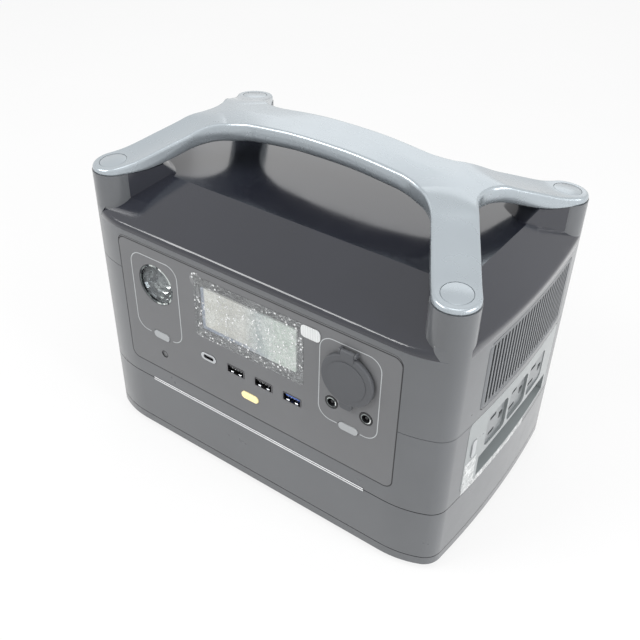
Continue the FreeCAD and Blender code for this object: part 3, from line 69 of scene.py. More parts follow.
class Mat:
    """A node material with object coordinates at hand."""

    def __init__(self, name, rough=0.5, metal=0.0, spec=0.5, coat=0.0, coat_rough=0.1, transmission=0.0, ior=1.46):
        self.m = bpy.data.materials.new(name)
        self.m.use_nodes = True
        self.t = self.m.node_tree
        self.b = self.t.nodes["Principled BSDF"]
        self.b.inputs["Roughness"].default_value = rough
        self.b.inputs["Metallic"].default_value = metal
        self.b.inputs["Specular IOR Level"].default_value = spec
        self.b.inputs["Coat Weight"].default_value = coat
        self.b.inputs["Coat Roughness"].default_value = coat_rough
        self.b.inputs["Transmission Weight"].default_value = transmission
        self.b.inputs["IOR"].default_value = ior
        self.co = self.t.nodes.new("ShaderNodeTexCoord").outputs["Object"]

    def node(self, kind, **values):
        n = self.t.nodes.new(kind)
        for k, v in values.items():
            setattr(n, k, v)
        return n

    def link(self, a, b):
        self.t.links.new(a, b)

    def scaled(self, scale):
        n = self.node("ShaderNodeMapping")
        n.inputs["Scale"].default_value = scale
        self.link(self.co, n.inputs["Vector"])
        return n.outputs["Vector"]

    def noise(self, scale, detail=3.0, rough=0.5, vector=None):
        n = self.node("ShaderNodeTexNoise")
        n.inputs["Scale"].default_value = scale
        n.inputs["Detail"].default_value = detail
        n.inputs["Roughness"].default_value = rough
        self.link(vector or self.co, n.inputs["Vector"])
        return n.outputs["Fac"]

    def voronoi(self, scale, feature="F1", vector=None, output="Distance"):
        n = self.node("ShaderNodeTexVoronoi", feature=feature)
        n.inputs["Scale"].default_value = scale
        self.link(vector or self.co, n.inputs["Vector"])
        return n.outputs[output]

    def wave(self, scale, direction="X"):
        n = self.node("ShaderNodeTexWave", bands_direction=direction)
        n.inputs["Scale"].default_value = scale
        self.link(self.co, n.inputs["Vector"])
        return n.outputs["Fac"]

    def math(self, op, a, b=0.5):
        n = self.node("ShaderNodeMath", operation=op)
        for i, v in enumerate((a, b)):
            if isinstance(v, (int, float)):
                n.inputs[i].default_value = v
            else:
                self.link(v, n.inputs[i])
        return n.outputs[0]

    def spread(self, fac, low, high, a=0.0, b=1.0):
        n = self.node("ShaderNodeMapRange")
        n.inputs["From Min"].default_value = a
        n.inputs["From Max"].default_value = b
        n.inputs["To Min"].default_value = low
        n.inputs["To Max"].default_value = high
        self.link(fac, n.inputs["Value"])
        return n.outputs["Result"]

    def ramp(self, fac, *stops):
        n = self.node("ShaderNodeValToRGB")
        e = n.color_ramp.elements
        while len(e) < len(stops):
            e.new(0.5)
        for i, (pos, col) in enumerate(stops):
            e[i].position = pos
            e[i].color = (*col[:3], 1)
        self.link(fac, n.inputs["Fac"])
        return n.outputs["Color"]

    def axes(self):
        """Object coordinates as three values, in metres."""
        n = self.node("ShaderNodeSeparateXYZ")
        self.link(self.co, n.inputs[0])
        return n.outputs

    def mix(self, fac, a, b):
        n = self.node("ShaderNodeMix", data_type="RGBA")
        self.link(fac, n.inputs["Factor"])
        for socket, v in ((n.inputs[6], a), (n.inputs[7], b)):
            if isinstance(v, tuple):
                socket.default_value = (*v[:3], 1)
            else:
                self.link(v, socket)
        return n.outputs[2]

    def color(self, out):
        self.link(out, self.b.inputs["Base Color"])

    def rough(self, out):
        self.link(out, self.b.inputs["Roughness"])

    def bump(self, height, strength=0.3, distance=0.0002):
        n = self.node("ShaderNodeBump")
        n.inputs["Strength"].default_value = strength
        n.inputs["Distance"].default_value = distance
        self.link(height, n.inputs["Height"])
        self.link(n.outputs["Normal"], self.b.inputs["Normal"])
        return n


def shade(color, k):
    return tuple(min(1.0, c * k) for c in color)


def moulded(name, color, rough=0.5, grain=0.25, vary=0.06, scale=2200.0, coat=0.0, spec=0.5, metallic=0.0,
            seams=()):
    """Moulded plastic: fine spark texture, slow changes of tone, uneven gloss; dark at the heights of its seams."""
    m = Mat(name, rough=rough, coat=coat, spec=spec, metal=metallic)
    slow = m.noise(14.0, 4.0)
    tone = m.ramp(slow, (0.3, shade(color, 1 - vary)), (0.7, shade(color, 1 + vary)))
    for height in seams:
        off = m.math("ABSOLUTE", m.math("SUBTRACT", m.axes()[2], height * MM))
        tone = m.mix(m.spread(off, 0.0, 1.0, 0.00026, 0.00042), (0.012, 0.012, 0.014), tone)
    m.color(tone)
    fine = m.noise(scale, 2.0, 0.6)
    m.bump(fine, grain, 0.00012)
    m.rough(m.spread(m.noise(60.0, 5.0), rough - 0.06, rough + 0.06))
    return m.m


def metal(name, color, rough=0.25, scale=(40.0, 900.0, 900.0), vary=0.1):
    """Metal with fine drawn lines."""
    m = Mat(name, rough=rough, metal=1.0)
    lines = m.noise(1.0, 4.0, 0.6, vector=m.scaled(scale))
    m.color(m.ramp(lines, (0.3, shade(color, 1 - vary)), (0.7, color)))
    m.rough(m.spread(lines, rough - 0.05, rough + 0.1))
    m.bump(lines, 0.15, 0.00005)
    return m.m


def circuit(name, color):
    """Solder mask with lighter tracks."""
    m = Mat(name, rough=0.35, coat=0.3)
    tracks = m.voronoi(260.0, "DISTANCE_TO_EDGE")
    m.color(m.ramp(tracks, (0.02, shade(color, 1.9)), (0.07, color)))
    m.bump(tracks, 0.2, 0.0001)
    return m.m


def clear(name, tint, alpha, crinkle=None, rough=0.05):
    """Clear sheet; crinkle is (scale, strength) of its folds."""
    m = Mat(name, rough=rough, coat=0.0)
    slow = m.noise(30.0, 3.0)
    m.color(m.ramp(slow, (0.3, shade(tint, 0.94)), (0.7, tint)))
    if crinkle:
        scale, strength = crinkle
        folds = m.voronoi(scale, "SMOOTH_F1")
        fine = m.noise(scale * 1.6, 4.0, 0.65)
        both = m.math("ADD", folds, m.math("MULTIPLY", fine, 0.8))
        m.bump(both, strength, 0.0012)
        m.link(m.spread(both, alpha[0], alpha[1], 0.45, 1.15), m.b.inputs["Alpha"])
    else:
        m.link(m.spread(slow, alpha[0], alpha[1]), m.b.inputs["Alpha"])
    m.m.surface_render_method = "BLENDED"
    return m.m


CASE = (0.128, 0.135, 0.144)
mats = {
    "case_matte": moulded("case_matte", shade(CASE, 0.86), rough=0.30, grain=0.12, seams=(SEAM, TRAY_SEAM), coat=0.5),
    "panel_matte": moulded("panel_matte", (0.155, 0.158, 0.164), rough=0.38, grain=0.12, vary=0.04),
    "roof_gloss": moulded("roof_gloss", (0.020, 0.022, 0.031), rough=0.15, grain=0.03, vary=0.10, coat=0.5),
    "handle_satin": moulded("handle_satin", (0.41, 0.455, 0.487), rough=0.27, grain=0.006, vary=0.02, scale=3200.0,
                            coat=0.25, metallic=0.6),
    "inner_black": moulded("inner_black", (0.018, 0.018, 0.020), rough=0.45, grain=0.2),
    "button_grey": moulded("button_grey", (0.40, 0.415, 0.425), rough=0.4, grain=0.05, vary=0.03),
    "chrome": metal("chrome", (0.86, 0.87, 0.89), rough=0.08, vary=0.04),
    "steel": metal("steel", (0.62, 0.63, 0.65), rough=0.28),
    "aluminium": metal("aluminium", (0.72, 0.73, 0.75), rough=0.35),
    "nickel": metal("nickel", (0.66, 0.63, 0.58), rough=0.25),
    "rubber": moulded("rubber", (0.088, 0.092, 0.100), rough=0.50, grain=0.4, scale=1400.0, spec=0.45),
    "blue": moulded("blue", (0.03, 0.10, 0.45), rough=0.35, grain=0.1),
    "board_green": circuit("board_green", (0.02, 0.13, 0.06)),
    "cell_sleeve": moulded("cell_sleeve", (0.03, 0.16, 0.30), rough=0.3, grain=0.08, coat=0.4),
    "led": moulded("led", (0.75, 0.62, 0.16), rough=0.25, grain=0.2),
    "clear": clear("clear", (0.55, 0.58, 0.60), (0.10, 0.16)),
}


def lit_button():
    m = Mat("button_lit", rough=0.35)
    glow = m.noise(90.0, 2.0)
    m.color(m.ramp(glow, (0.35, (0.84, 0.72, 0.34)), (0.7, (0.92, 0.83, 0.50))))
    m.b.inputs["Emission Color"].default_value = (1.0, 0.86, 0.45, 1)
    m.b.inputs["Emission Strength"].default_value = 0.25
    m.bump(m.noise(1800.0, 2.0), 0.1, 0.0001)
    return m.m


def lcd_glass():
    """Lit pane: warm on the left, greener on the right, with a painted band of cooler shade across it, painted glints
    for the film's bubbles, and painted bluish shade along its left and lower edges.
    """
    m = Mat("lcd", rough=0.25)
    x, y, z = m.axes()
    across = m.spread(x, 0.0, 1.0, -0.040, 0.037)
    # The blue-grey stop at 0.62 is a painted band of shade across the pane.
    base = m.ramp(across, (0.0, (0.60, 0.60, 0.54)), (0.45, (0.58, 0.58, 0.54)), (0.62, (0.44, 0.50, 0.50)),
                  (0.80, (0.56, 0.64, 0.58)), (1.0, (0.60, 0.68, 0.62)))
    # Painted highlight: pale specks stand for the glints of the film's bubbles over the pane.
    lcd_bubble_glints = m.math("MULTIPLY", m.noise(420.0, 3.0, 0.7), m.noise(60.0, 3.0))
    tone = m.mix(m.spread(lcd_bubble_glints, 0.0, 0.8, 0.22, 0.42), base, (0.86, 0.88, 0.85))
    # Painted shade: a bluish band along the pane's left edge and the left part of its lower edge, for the window's
    # recessed edge.
    edge = m.math("MINIMUM", m.spread(x, 0.0, 1.0, -0.0372, -0.0362),
                  m.math("MAXIMUM", m.spread(z, 0.0, 1.0, 0.1219, 0.1226), m.spread(x, 0.0, 1.0, -0.010, 0.020)))
    tone = m.mix(edge, (0.26, 0.30, 0.37), tone)
    m.color(tone)
    m.link(tone, m.b.inputs["Emission Color"])
    m.b.inputs["Emission Strength"].default_value = 0.14
    return m.m


def blistered_film():
    """Thin film: nearly clear, with clusters of small bubbles painted bright as glints, and faint creases."""
    m = Mat("film", rough=0.12)
    spots = m.spread(m.voronoi(400.0), 1.0, 0.0, 0.16, 0.36)
    groups = m.spread(m.noise(80.0, 3.0, 0.6), 0.0, 1.0, 0.43, 0.55)
    # Painted highlight: the bubbles are real, but their bright white colour and near-opaque alpha stand in for
    # glints.
    film_bubble_glints = m.math("MULTIPLY", spots, groups)
    creases = m.spread(m.voronoi(170.0, "DISTANCE_TO_EDGE", vector=m.scaled((1.0, 1.0, 1.7))), 0.35, 0.0, 0.0, 0.05)
    veil = m.math("ADD", m.math("MULTIPLY", m.noise(110.0, 4.0, 0.6), 0.16), m.math("MULTIPLY", creases, 0.5))
    m.color(m.ramp(film_bubble_glints, (0.0, (0.70, 0.72, 0.72)), (1.0, (0.95, 0.96, 0.96))))
    m.link(m.math("MINIMUM", m.math("ADD", veil, film_bubble_glints), 0.92), m.b.inputs["Alpha"])
    m.bump(m.math("ADD", film_bubble_glints, m.noise(240.0, 3.0, 0.6)), 0.6, 0.0006)
    m.m.surface_render_method = "BLENDED"
    return m.m


def trim_metal():
    """Two bright ribs with a dark groove between them."""
    m = Mat("trim_metal", rough=0.22, metal=1.0)
    x, y, z = m.axes()
    off = m.math("ABSOLUTE", m.math("SUBTRACT", z, SEAM * MM))
    rib = m.spread(off, 0.0, 1.0, 0.00030, 0.00042)
    lines = m.noise(1.0, 3.0, 0.6, vector=m.scaled((60.0, 900.0, 900.0)))
    bright = m.ramp(lines, (0.3, (0.78, 0.79, 0.81)), (0.7, (0.95, 0.96, 0.97)))
    m.color(m.mix(rib, (0.03, 0.03, 0.035), bright))
    m.rough(m.spread(lines, 0.16, 0.30))
    return m.m


def outlet_plastic_painted_shade():
    """Outlet faces, with painted shade: their holes go dark below the face."""
    m = Mat("outlet_plastic_painted_shade", rough=0.32, coat=0.3)
    x, y, z = m.axes()
    # Painted shade: deeper than the outlet face, inside the holes, the colour is near black.
    face = m.spread(x, 0.0, 1.0, 0.1412, 0.1421)
    grain = m.ramp(m.noise(30.0, 3.0), (0.3, (0.165, 0.178, 0.185)), (0.7, (0.195, 0.208, 0.215)))
    m.color(m.mix(face, (0.010, 0.010, 0.011), grain))
    m.bump(m.noise(2200.0, 2.0, 0.6), 0.15, 0.0001)
    return m.m


def grille_plastic_painted_shade():
    """Case plastic on the outside, with painted shade between the ribs; both sides bulge with one radius."""
    m = Mat("grille_plastic_painted_shade", rough=0.34)
    x, y, z = m.axes()
    bulge = m.math("MULTIPLY", m.math("MULTIPLY", y, y), 0.5 / (BULGE * MM))
    depth = m.math("SUBTRACT", m.math("SUBTRACT", SIDE * MM, bulge), m.math("ABSOLUTE", x))
    # Painted shade: more than about 1 mm below the bulging outer surface, in the slots between the ribs, the colour
    # goes near black.
    inside = m.spread(depth, 0.0, 1.0, 0.0004, 0.0011)
    outer = m.ramp(m.noise(14.0, 4.0), (0.3, shade(CASE, 1.0)), (0.7, shade(CASE, 1.12)))
    m.color(m.mix(inside, outer, (0.008, 0.008, 0.010)))
    m.bump(m.noise(2200.0, 2.0, 0.6), 0.16, 0.00012)
    return m.m


def faceted_chrome_painted_reflections():
    """Reflector metal with painted reflections: its facets are coloured light and dark at random, as for parts of the
    room.
    """
    m = Mat("faceted_chrome_painted_reflections", rough=0.07, metal=1.0)
    # Painted reflection: random facet tones from near black to near white.
    cells = m.voronoi(260.0, output="Color")
    tone = m.node("ShaderNodeSeparateColor")
    m.link(cells, tone.inputs[0])
    # Painted reflection: darker towards the lamp's left side, between x = -79 mm and -91 mm.
    painted_reflection_tone = m.math("MULTIPLY", tone.outputs[0], m.spread(m.axes()[0], 0.30, 1.0, -0.091, -0.079))
    m.color(m.ramp(painted_reflection_tone, (0.0, (0.03, 0.035, 0.04)), (0.45, (0.20, 0.22, 0.22)), (0.75, (0.55, 0.60, 0.58)),
                   (1.0, (0.92, 0.94, 0.93))))
    m.rough(m.spread(m.noise(300.0, 2.0), 0.05, 0.12))
    return m.m


def ribbed(name, color):
    m = Mat(name, rough=0.45)
    ribs = m.wave(260.0, "X")
    m.color(m.ramp(ribs, (0.2, shade(color, 0.8)), (0.6, color)))
    m.bump(ribs, 0.5, 0.0003)
    return m.m


mats["button_lit"] = lit_button()
mats["lcd"] = lcd_glass()
mats["tab_white"] = ribbed("tab_white", (0.80, 0.82, 0.82))
mats["film"] = blistered_film()
mats["trim_metal"] = trim_metal()
mats["outlet_plastic_painted_shade"] = outlet_plastic_painted_shade()
mats["faceted_chrome_painted_reflections"] = faceted_chrome_painted_reflections()
mats["grille_plastic_painted_shade"] = grille_plastic_painted_shade()
mats["film_white"] = clear("film_white", (0.86, 0.88, 0.88), (0.22, 0.80), crinkle=(300.0, 1.0), rough=0.15)
mats["side_pale"] = moulded("side_pale", (0.25, 0.27, 0.275), rough=0.30, grain=0.12, coat=0.4)
mats["port_silver"] = metal("port_silver", (0.60, 0.62, 0.64), rough=0.24, vary=0.10)
mats["port_dark"] = metal("port_dark", (0.20, 0.20, 0.21), rough=0.30, vary=0.08)
mats["print_grey"] = moulded("print_grey", (0.50, 0.52, 0.53), rough=0.5, grain=0.05)


# ---------- helpers ----------

BEVEL_SEGMENTS, BEVEL_ANGLE = 2, 32.0


def finish_edges(obj, width, even=False):
    """Softened edges on a CAD node, with modifiers only; even evens out large faces."""
    weld = obj.modifiers.new("weld", "WELD")
    weld.merge_threshold = 2e-6
    if width:
        bevel = obj.modifiers.new("bevel", "BEVEL")
        bevel.width = width * MM
        bevel.segments = BEVEL_SEGMENTS
        bevel.limit_method = "ANGLE"
        bevel.angle_limit = math.radians(BEVEL_ANGLE)
        bevel.use_clamp_overlap = True
        bevel.harden_normals = False
        bevel.miter_outer = "MITER_ARC"
    if even:
        obj.modifiers.new("even", "WEIGHTED_NORMAL").keep_sharp = True


def shade_by_angle(mesh, degrees=30.0):
    mesh.polygons.foreach_set("use_smooth", [True] * len(mesh.polygons))
    mesh.set_sharp_from_angle(angle=math.radians(degrees))


def new_piece(name, verts, faces, material, body="station", smooth=30.0):
    mesh = bpy.data.meshes.new(name)
    mesh.from_pydata([Vector(v) for v in verts], [], faces)
    mesh.validate()
    mesh.update()
    obj = bpy.data.objects.new(name, mesh)
    bpy.context.scene.collection.objects.link(obj)
    mesh.materials.append(material)
    shade_by_angle(mesh, smooth)
    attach(obj, body)
    return obj


# ---------- the handle: one smooth shell from a distance field ----------

def segment_distance(x, y, ax, ay, bx, by):
    dx, dy = bx - ax, by - ay
    t = np.clip(((x - ax) * dx + (y - ay) * dy) / (dx * dx + dy * dy), 0, 1)
    return np.hypot(x - ax - t * dx, y - ay - t * dy)


def round_union(a, b, r):
    ua, ub = np.maximum(r - a, 0), np.maximum(r - b, 0)
    return np.maximum(r, np.minimum(a, b)) - np.hypot(ua, ub)


def round_meet(a, b, r):
    ua, ub = np.maximum(r + a, 0), np.maximum(r + b, 0)
    return np.minimum(-r, np.maximum(a, b)) + np.hypot(ua, ub)


def handle_plan(x, y):
    """Signed distance to the handle's outline seen from above; folded to one quarter."""
    x, y = np.abs(x), np.abs(y)
    bar = np.maximum(y - BAR_HALF, x - LEG_AXIS_X - 6)
    leg = segment_distance(x, y, POST_X, POST_Y, LEG_AXIS_X, 0) - LEG_HALF
    other = segment_distance(x, y, POST_X, -POST_Y, LEG_AXIS_X, 0) - LEG_HALF
    return round_union(round_union(bar, leg, 20.0), other, 11.0)


def rise(d, start, low, end, high):
    t = np.clip((d - start) / (end - start), 0, 1)
    return low + (high - low) * t * t * (3 - 2 * t) + 0.15 * np.maximum(d - end, 0)


def arch(x, top):
    return top - (BAR_RADIUS - np.sqrt(BAR_RADIUS ** 2 - x * x))


def smooth_min(a, b, k):
    h = np.clip(0.5 + 0.5 * (b - a) / k, 0, 1)
    return b + (a - b) * h - k * h * (1 - h)


def leg_way():
    """Unit vector from a post to the middle plane, in the quarter where x and y are positive."""
    dx, dy = LEG_AXIS_X - POST_X, -POST_Y
    size = math.hypot(dx, dy)
    return dx / size, dy / size


def handle_heights(x, y):
    dx, dy = np.abs(x) - POST_X, np.abs(y) - POST_Y
    d = np.hypot(dx, dy)
    along = dx * leg_way()[0] + dy * leg_way()[1]
    fade = np.clip((along - 12) / 40, 0, 1)
    lean = LEG_LEAN * along * (1 - fade * fade * (3 - 2 * fade))
    top = smooth_min(arch(x, TOP), rise(d, 9, LEG_END_TOP, 75, 229.0) + lean, 1.5)
    under = smooth_min(arch(x, TOP - BAR_THICK), rise(d, 13, POST_TOP, 79, 216.0), 1.5)
    return top, under


def lower_radius(x, y):
    """Rounding of the lower edges: full along the bar, small where the legs stand on the posts."""
    t = np.clip((np.hypot(np.abs(x) - POST_X, np.abs(y) - POST_Y) - 14) / 45, 0, 1)
    return 0.7 + 4.8 * t * t * (3 - 2 * t)


def handle_field(p):
    x, y, z = p
    top, under = handle_heights(x, y)
    slab = np.maximum(z - top, under - z) * 0.93
    plan = handle_plan(x, y)
    upper = round_meet(plan, (z - top) * 0.93, 2.0)
    lower = round_meet(plan, (under - z) * 0.56, lower_radius(x, y))
    return np.maximum(np.maximum(upper, lower), slab)


def pulled(points, field, rounds):
    """Points moved onto the zero surface of a field."""
    for _ in range(rounds):
        base = field(points.T)
        grad = np.stack([(field((points + e).T) - field((points - e).T)) / 0.1
                         for e in np.eye(3) * 0.05], -1)
        size = np.maximum((grad ** 2).sum(-1), 0.05)
        move = -(base / size)[:, None] * grad
        far = np.linalg.norm(move, axis=1)
        move *= (np.minimum(far, 0.6) / np.maximum(far, 1e-9))[:, None]
        points = points + move
    return points


def relaxed(points, quads, field, rounds):
    """Points spread evenly over the surface, each towards the middle of its neighbours."""
    a, b = quads.ravel(), np.roll(quads, -1, 1).ravel()
    ends, others = np.concatenate((a, b)), np.concatenate((b, a))
    count = np.bincount(ends, minlength=len(points))[:, None]
    for _ in range(rounds):
        middle = np.stack([np.bincount(ends, points[others, k], len(points)) for k in range(3)], -1) / count
        points = pulled(points + 0.6 * (middle - points), field, 2)
    return points


def surface_net(field, low, high, step):
    """Quads on the zero surface of a field, pulled onto it exactly."""
    axes = [np.arange(a, b + step, step) for a, b in zip(low, high)]
    grid = np.meshgrid(*axes, indexing="ij")
    f = field(grid)
    inside = f < 0
    n = [len(a) for a in axes]
    corner = np.zeros([k - 1 for k in n], int)
    for i in (0, 1):
        for j in (0, 1):
            for k in (0, 1):
                corner += inside[i:n[0] - 1 + i, j:n[1] - 1 + j, k:n[2] - 1 + k]
    cell = np.argwhere((corner > 0) & (corner < 8))
    index = -np.ones(corner.shape, int)
    index[tuple(cell.T)] = np.arange(len(cell))
    points = np.array(low) + (cell + 0.5) * step
    points = pulled(points, field, 6)
    faces = []
    for axis in range(3):
        a, b = [(1, 2), (2, 0), (0, 1)][axis]
        one = [slice(None)] * 3
        two = [slice(None)] * 3
        one[axis], two[axis] = slice(0, -1), slice(1, None)
        cross = inside[tuple(one)] != inside[tuple(two)]
        where = np.argwhere(cross)
        ok = (where[:, a] > 0) & (where[:, b] > 0) & (where[:, a] < n[a] - 1) & (where[:, b] < n[b] - 1)
        where = where[ok]
        quads = []
        for da, db in ((-1, -1), (0, -1), (0, 0), (-1, 0)):
            c = where.copy()
            c[:, a] += da
            c[:, b] += db
            quads.append(index[tuple(c.T)])
        quads = np.stack(quads, -1)
        flip = ~inside[tuple(where.T)]
        quads[flip] = quads[flip][:, ::-1]
        faces.append(quads)
    faces = np.concatenate(faces)
    return relaxed(points, faces, field, 8), faces


def cutter(name, verts, faces):
    mesh = bpy.data.meshes.new(name)
    mesh.from_pydata([Vector(v) * MM for v in verts], [], faces)
    bm = bmesh.new()
    bm.from_mesh(mesh)
    bmesh.ops.recalc_face_normals(bm, faces=bm.faces)
    bm.to_mesh(mesh)
    bm.free()
    obj = bpy.data.objects.new(name, mesh)
    bpy.context.scene.collection.objects.link(obj)
    return obj


def lathe(profile, centre, axis, sides=72):
    """Closed solid of revolution; profile is (radius, height) from the axis and back to it."""
    axis = Vector(axis).normalized()
    u = axis.orthogonal().normalized()
    v = axis.cross(u)
    verts, faces, rings = [], [], []
    for r, h in profile:
        rings.append(len(verts))
        if r < 1e-6:
            verts.append(Vector(centre) + axis * h)
            continue
        for i in range(sides):
            a = 2 * math.pi * i / sides
            verts.append(Vector(centre) + axis * h + (u * math.cos(a) + v * math.sin(a)) * r)
    for k in range(len(profile) - 1):
        p, q = rings[k], rings[k + 1]
        for i in range(sides):
            j = (i + 1) % sides
            if profile[k][0] < 1e-6:
                faces.append([p, q + j, q + i])
            elif profile[k + 1][0] < 1e-6:
                faces.append([p + i, p + j, q])
            else:
                faces.append([p + i, p + j, q + j, q + i])
    return verts, faces


def joined(parts):
    verts, faces = [], []
    for v, f in parts:
        base = len(verts)
        verts += v
        faces += [[i + base for i in face] for face in f]
    return verts, faces


def leg_ends():
    """Centre and upward normal of the leaning face at each leg's end."""
    ux, uy = leg_way()
    return [((sx * POST_X, sy * POST_Y, LEG_END_TOP), (-LEG_LEAN * sx * ux, -LEG_LEAN * sy * uy, 1.0))
            for sx in (-1, 1) for sy in (-1, 1)]


def grip_pocket():
    """Solid for the pocket under the bar, its roof following the arch."""
    half, width, corner = 73.2, 13.7, 10.2
    verts, faces = [], []
    xs = [half * math.sin(math.pi / 2 * t / 40) for t in range(-40, 41)]
    for x in xs:
        edge = abs(x) - (half - corner)
        w = width if edge <= 0 else width - corner + math.sqrt(max(corner ** 2 - edge ** 2, 0.01))
        top = float(arch(np.array(x), TOP - BAR_THICK)) + 4.0
        verts += [(x, -w, 190), (x, w, 190), (x, w, top), (x, -w, top)]
    for i in range(len(xs) - 1):
        for k in range(4):
            a, b = 4 * i + k, 4 * i + (k + 1) % 4
            faces.append([a, b, b + 4, a + 4])
    faces += [[0, 1, 2, 3], [4 * len(xs) - 4 + k for k in (3, 2, 1, 0)]]
    return verts, faces


def smooth_from_field(mesh):
    """Exact normals on every face whose corners all lie on the handle's field; the pockets keep their own."""
    points = np.empty(3 * len(mesh.vertices))
    mesh.vertices.foreach_get("co", points)
    points = points.reshape(-1, 3) / MM
    on = np.abs(handle_field(points.T)) < 0.03
    grad = np.stack([handle_field((points + e).T) - handle_field((points - e).T) for e in np.eye(3) * 0.05], -1)
    grad /= np.maximum(np.linalg.norm(grad, axis=1), 1e-9)[:, None]
    count = len(mesh.loops)
    corner = np.empty(count, dtype=np.int32)
    mesh.loops.foreach_get("vertex_index", corner)
    first, size = np.empty((2, len(mesh.polygons)), dtype=np.int32)
    mesh.polygons.foreach_get("loop_start", first)
    mesh.polygons.foreach_get("loop_total", size)
    normals = np.empty(3 * count, dtype=np.float32)
    mesh.corner_normals.foreach_get("vector", normals)
    normals = normals.reshape(-1, 3)
    whole = np.repeat(np.logical_and.reduceat(on[corner], first), size)
    normals[whole] = grad[corner[whole]]
    mesh.normals_split_custom_set(normals.tolist())


def build_handle():
    step = 0.9
    points, faces = surface_net(handle_field, (-143.0, -90.0, 198.0), (143.0, 90.0, 238.0), step)
    mesh = bpy.data.meshes.new("handle_shell")
    mesh.from_pydata((points * MM).tolist(), [], faces.tolist())
    bm = bmesh.new()
    bm.from_mesh(mesh)
    bmesh.ops.remove_doubles(bm, verts=bm.verts, dist=0.35 * step * MM)
    bmesh.ops.recalc_face_normals(bm, faces=bm.faces)
    bm.to_mesh(mesh)
    bm.free()
    obj = bpy.data.objects.new("handle_shell", mesh)
    bpy.context.scene.collection.objects.link(obj)
    pocket = [(0, -1.0), (CAP_RADIUS + 0.2, -1.0), (CAP_RADIUS + 0.2, 4.0), (0, 4.0)]
    cuts = [cutter("cut_caps", *joined([lathe(pocket, c, n) for c, n in leg_ends()])),
            cutter("cut_grip", *grip_pocket())]
    for c in cuts:
        mod = obj.modifiers.new(c.name, "BOOLEAN")
        mod.operation = "DIFFERENCE"
        mod.solver = "EXACT"
        mod.object = c
    dg = bpy.context.evaluated_depsgraph_get()
    done = bpy.data.meshes.new_from_object(obj.evaluated_get(dg))
    obj.modifiers.clear()
    obj.data = done
    for c in cuts:
        bpy.data.objects.remove(c)
    done.materials.clear()
    done.materials.append(mats["handle_satin"])
    shade_by_angle(done, 35.0)
    smooth_from_field(done)
    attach(obj, "station")
    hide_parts("handle")


def build_caps():
    r, t = CAP_RADIUS, CAP_THICK
    profile = [(0, -t), (r - 0.1, -t), (r, -t + 0.1), (r, -0.40), (r - 0.12, -0.12), (r - 0.40, 0.0), (0, 0.0)]
    verts, faces = joined([lathe(profile, c, n) for c, n in leg_ends()])
    obj = new_piece("leg_end_caps", [v * MM for v in verts], faces, mats["handle_satin"])
    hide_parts("handle_caps")


build_handle()
build_caps()


# ---------- printed frames round the lamp and the socket ----------

def corner_way():
    """Where the flat front ends, and the angle at which the shoulder arc meets the corner arc."""
    dy = -POST_Y - (FRONT + SHOULDER)
    dx = math.sqrt((SHOULDER - CORNER) ** 2 - dy ** 2)
    return POST_X - dx, math.atan2(dy, dx)


FLAT_END, MEET = corner_way()


def front_y(x):
    """Front wall at a distance x from the middle."""
    bend = abs(x) - FLAT_END
    if bend <= 0:
        return FRONT
    if abs(x) <= POST_X + CORNER * math.cos(MEET):
        return FRONT + SHOULDER - math.sqrt(SHOULDER ** 2 - bend ** 2)
    return -POST_Y - math.sqrt(max(CORNER ** 2 - (abs(x) - POST_X) ** 2, 0))


def ribbon(name, outline, width, lift, material):
    """Thin closed strip on the front wall along a list of (x, z) points, sunk a little into the wall."""
    verts, faces = [], []
    n = len(outline)
    for i, (x, z) in enumerate(outline):
        x0, z0 = outline[max(i - 1, 0)]
        x1, z1 = outline[min(i + 1, n - 1)]
        dx, dz = x1 - x0, z1 - z0
        size = math.hypot(dx, dz)
        nx, nz = -dz / size * width / 2, dx / size * width / 2
        for side, out in ((-1, lift), (1, lift), (1, -STRIP_SUNK), (-1, -STRIP_SUNK)):
            px = x + side * nx
            verts.append((px * MM, (front_y(px) - out) * MM, (z + side * nz) * MM))
    for i in range(n - 1):
        for k in range(4):
            a, b = 4 * i + k, 4 * i + (k + 1) % 4
            faces.append([a, a + 4, b + 4, b])
    faces += [[0, 1, 2, 3], [4 * n - 1, 4 * n - 2, 4 * n - 3, 4 * n - 4]]
    return new_piece(name, verts, faces, material)


def round_box(x0, x1, z0, z1, r, gap):
    """Outline of a rounded box, open between gap[0] and gap[1] at its bottom."""
    points = [(gap[1], z0)]
    for cx, cz, start in ((x1 - r, z0 + r, -90), (x1 - r, z1 - r, 0), (x0 + r, z1 - r, 90), (x0 + r, z0 + r, 180)):
        for k in range(13):
            a = math.radians(start + 90 * k / 12)
            points.append((cx + r * math.cos(a), cz + r * math.sin(a)))
    points.append((gap[0], z0))
    return points


HEIGHT_SCALE = 1.05    # from a reading above the seam to the part's height


def print_line(z):
    return SEAM + HEIGHT_SCALE * z


ribbon("lamp_print", round_box(-99.5, -58.5, print_line(41.5), print_line(100.5), 9, (-88, -67)), 0.55,
       0.04, mats["print_grey"])
ribbon("socket_print", round_box(54.6, 97.0, print_line(42.5), print_line(101), 9, (68.5, 85.3)), 0.55,
       0.04, mats["print_grey"])


def panel_outline():
    """Outline of the front panel's gap, from the CAD panel's own place."""
    x, z0, z1, r = 109.8, 65.5, 165.7, 6.2
    points = round_box(-x, x, z0, z1, r, (0.0, 0.0))
    fine = []
    for (xa, za), (xb, zb) in zip(points, points[1:]):
        steps = max(1, int(math.hypot(xb - xa, zb - za) / 6))
        fine += [(xa + (xb - xa) * k / steps, za + (zb - za) * k / steps) for k in range(steps)]
    return fine + [points[-1]]


def build_lines():
    ribbon("panel_gap_line", panel_outline(), 0.75, 0.03, mats["inner_black"])


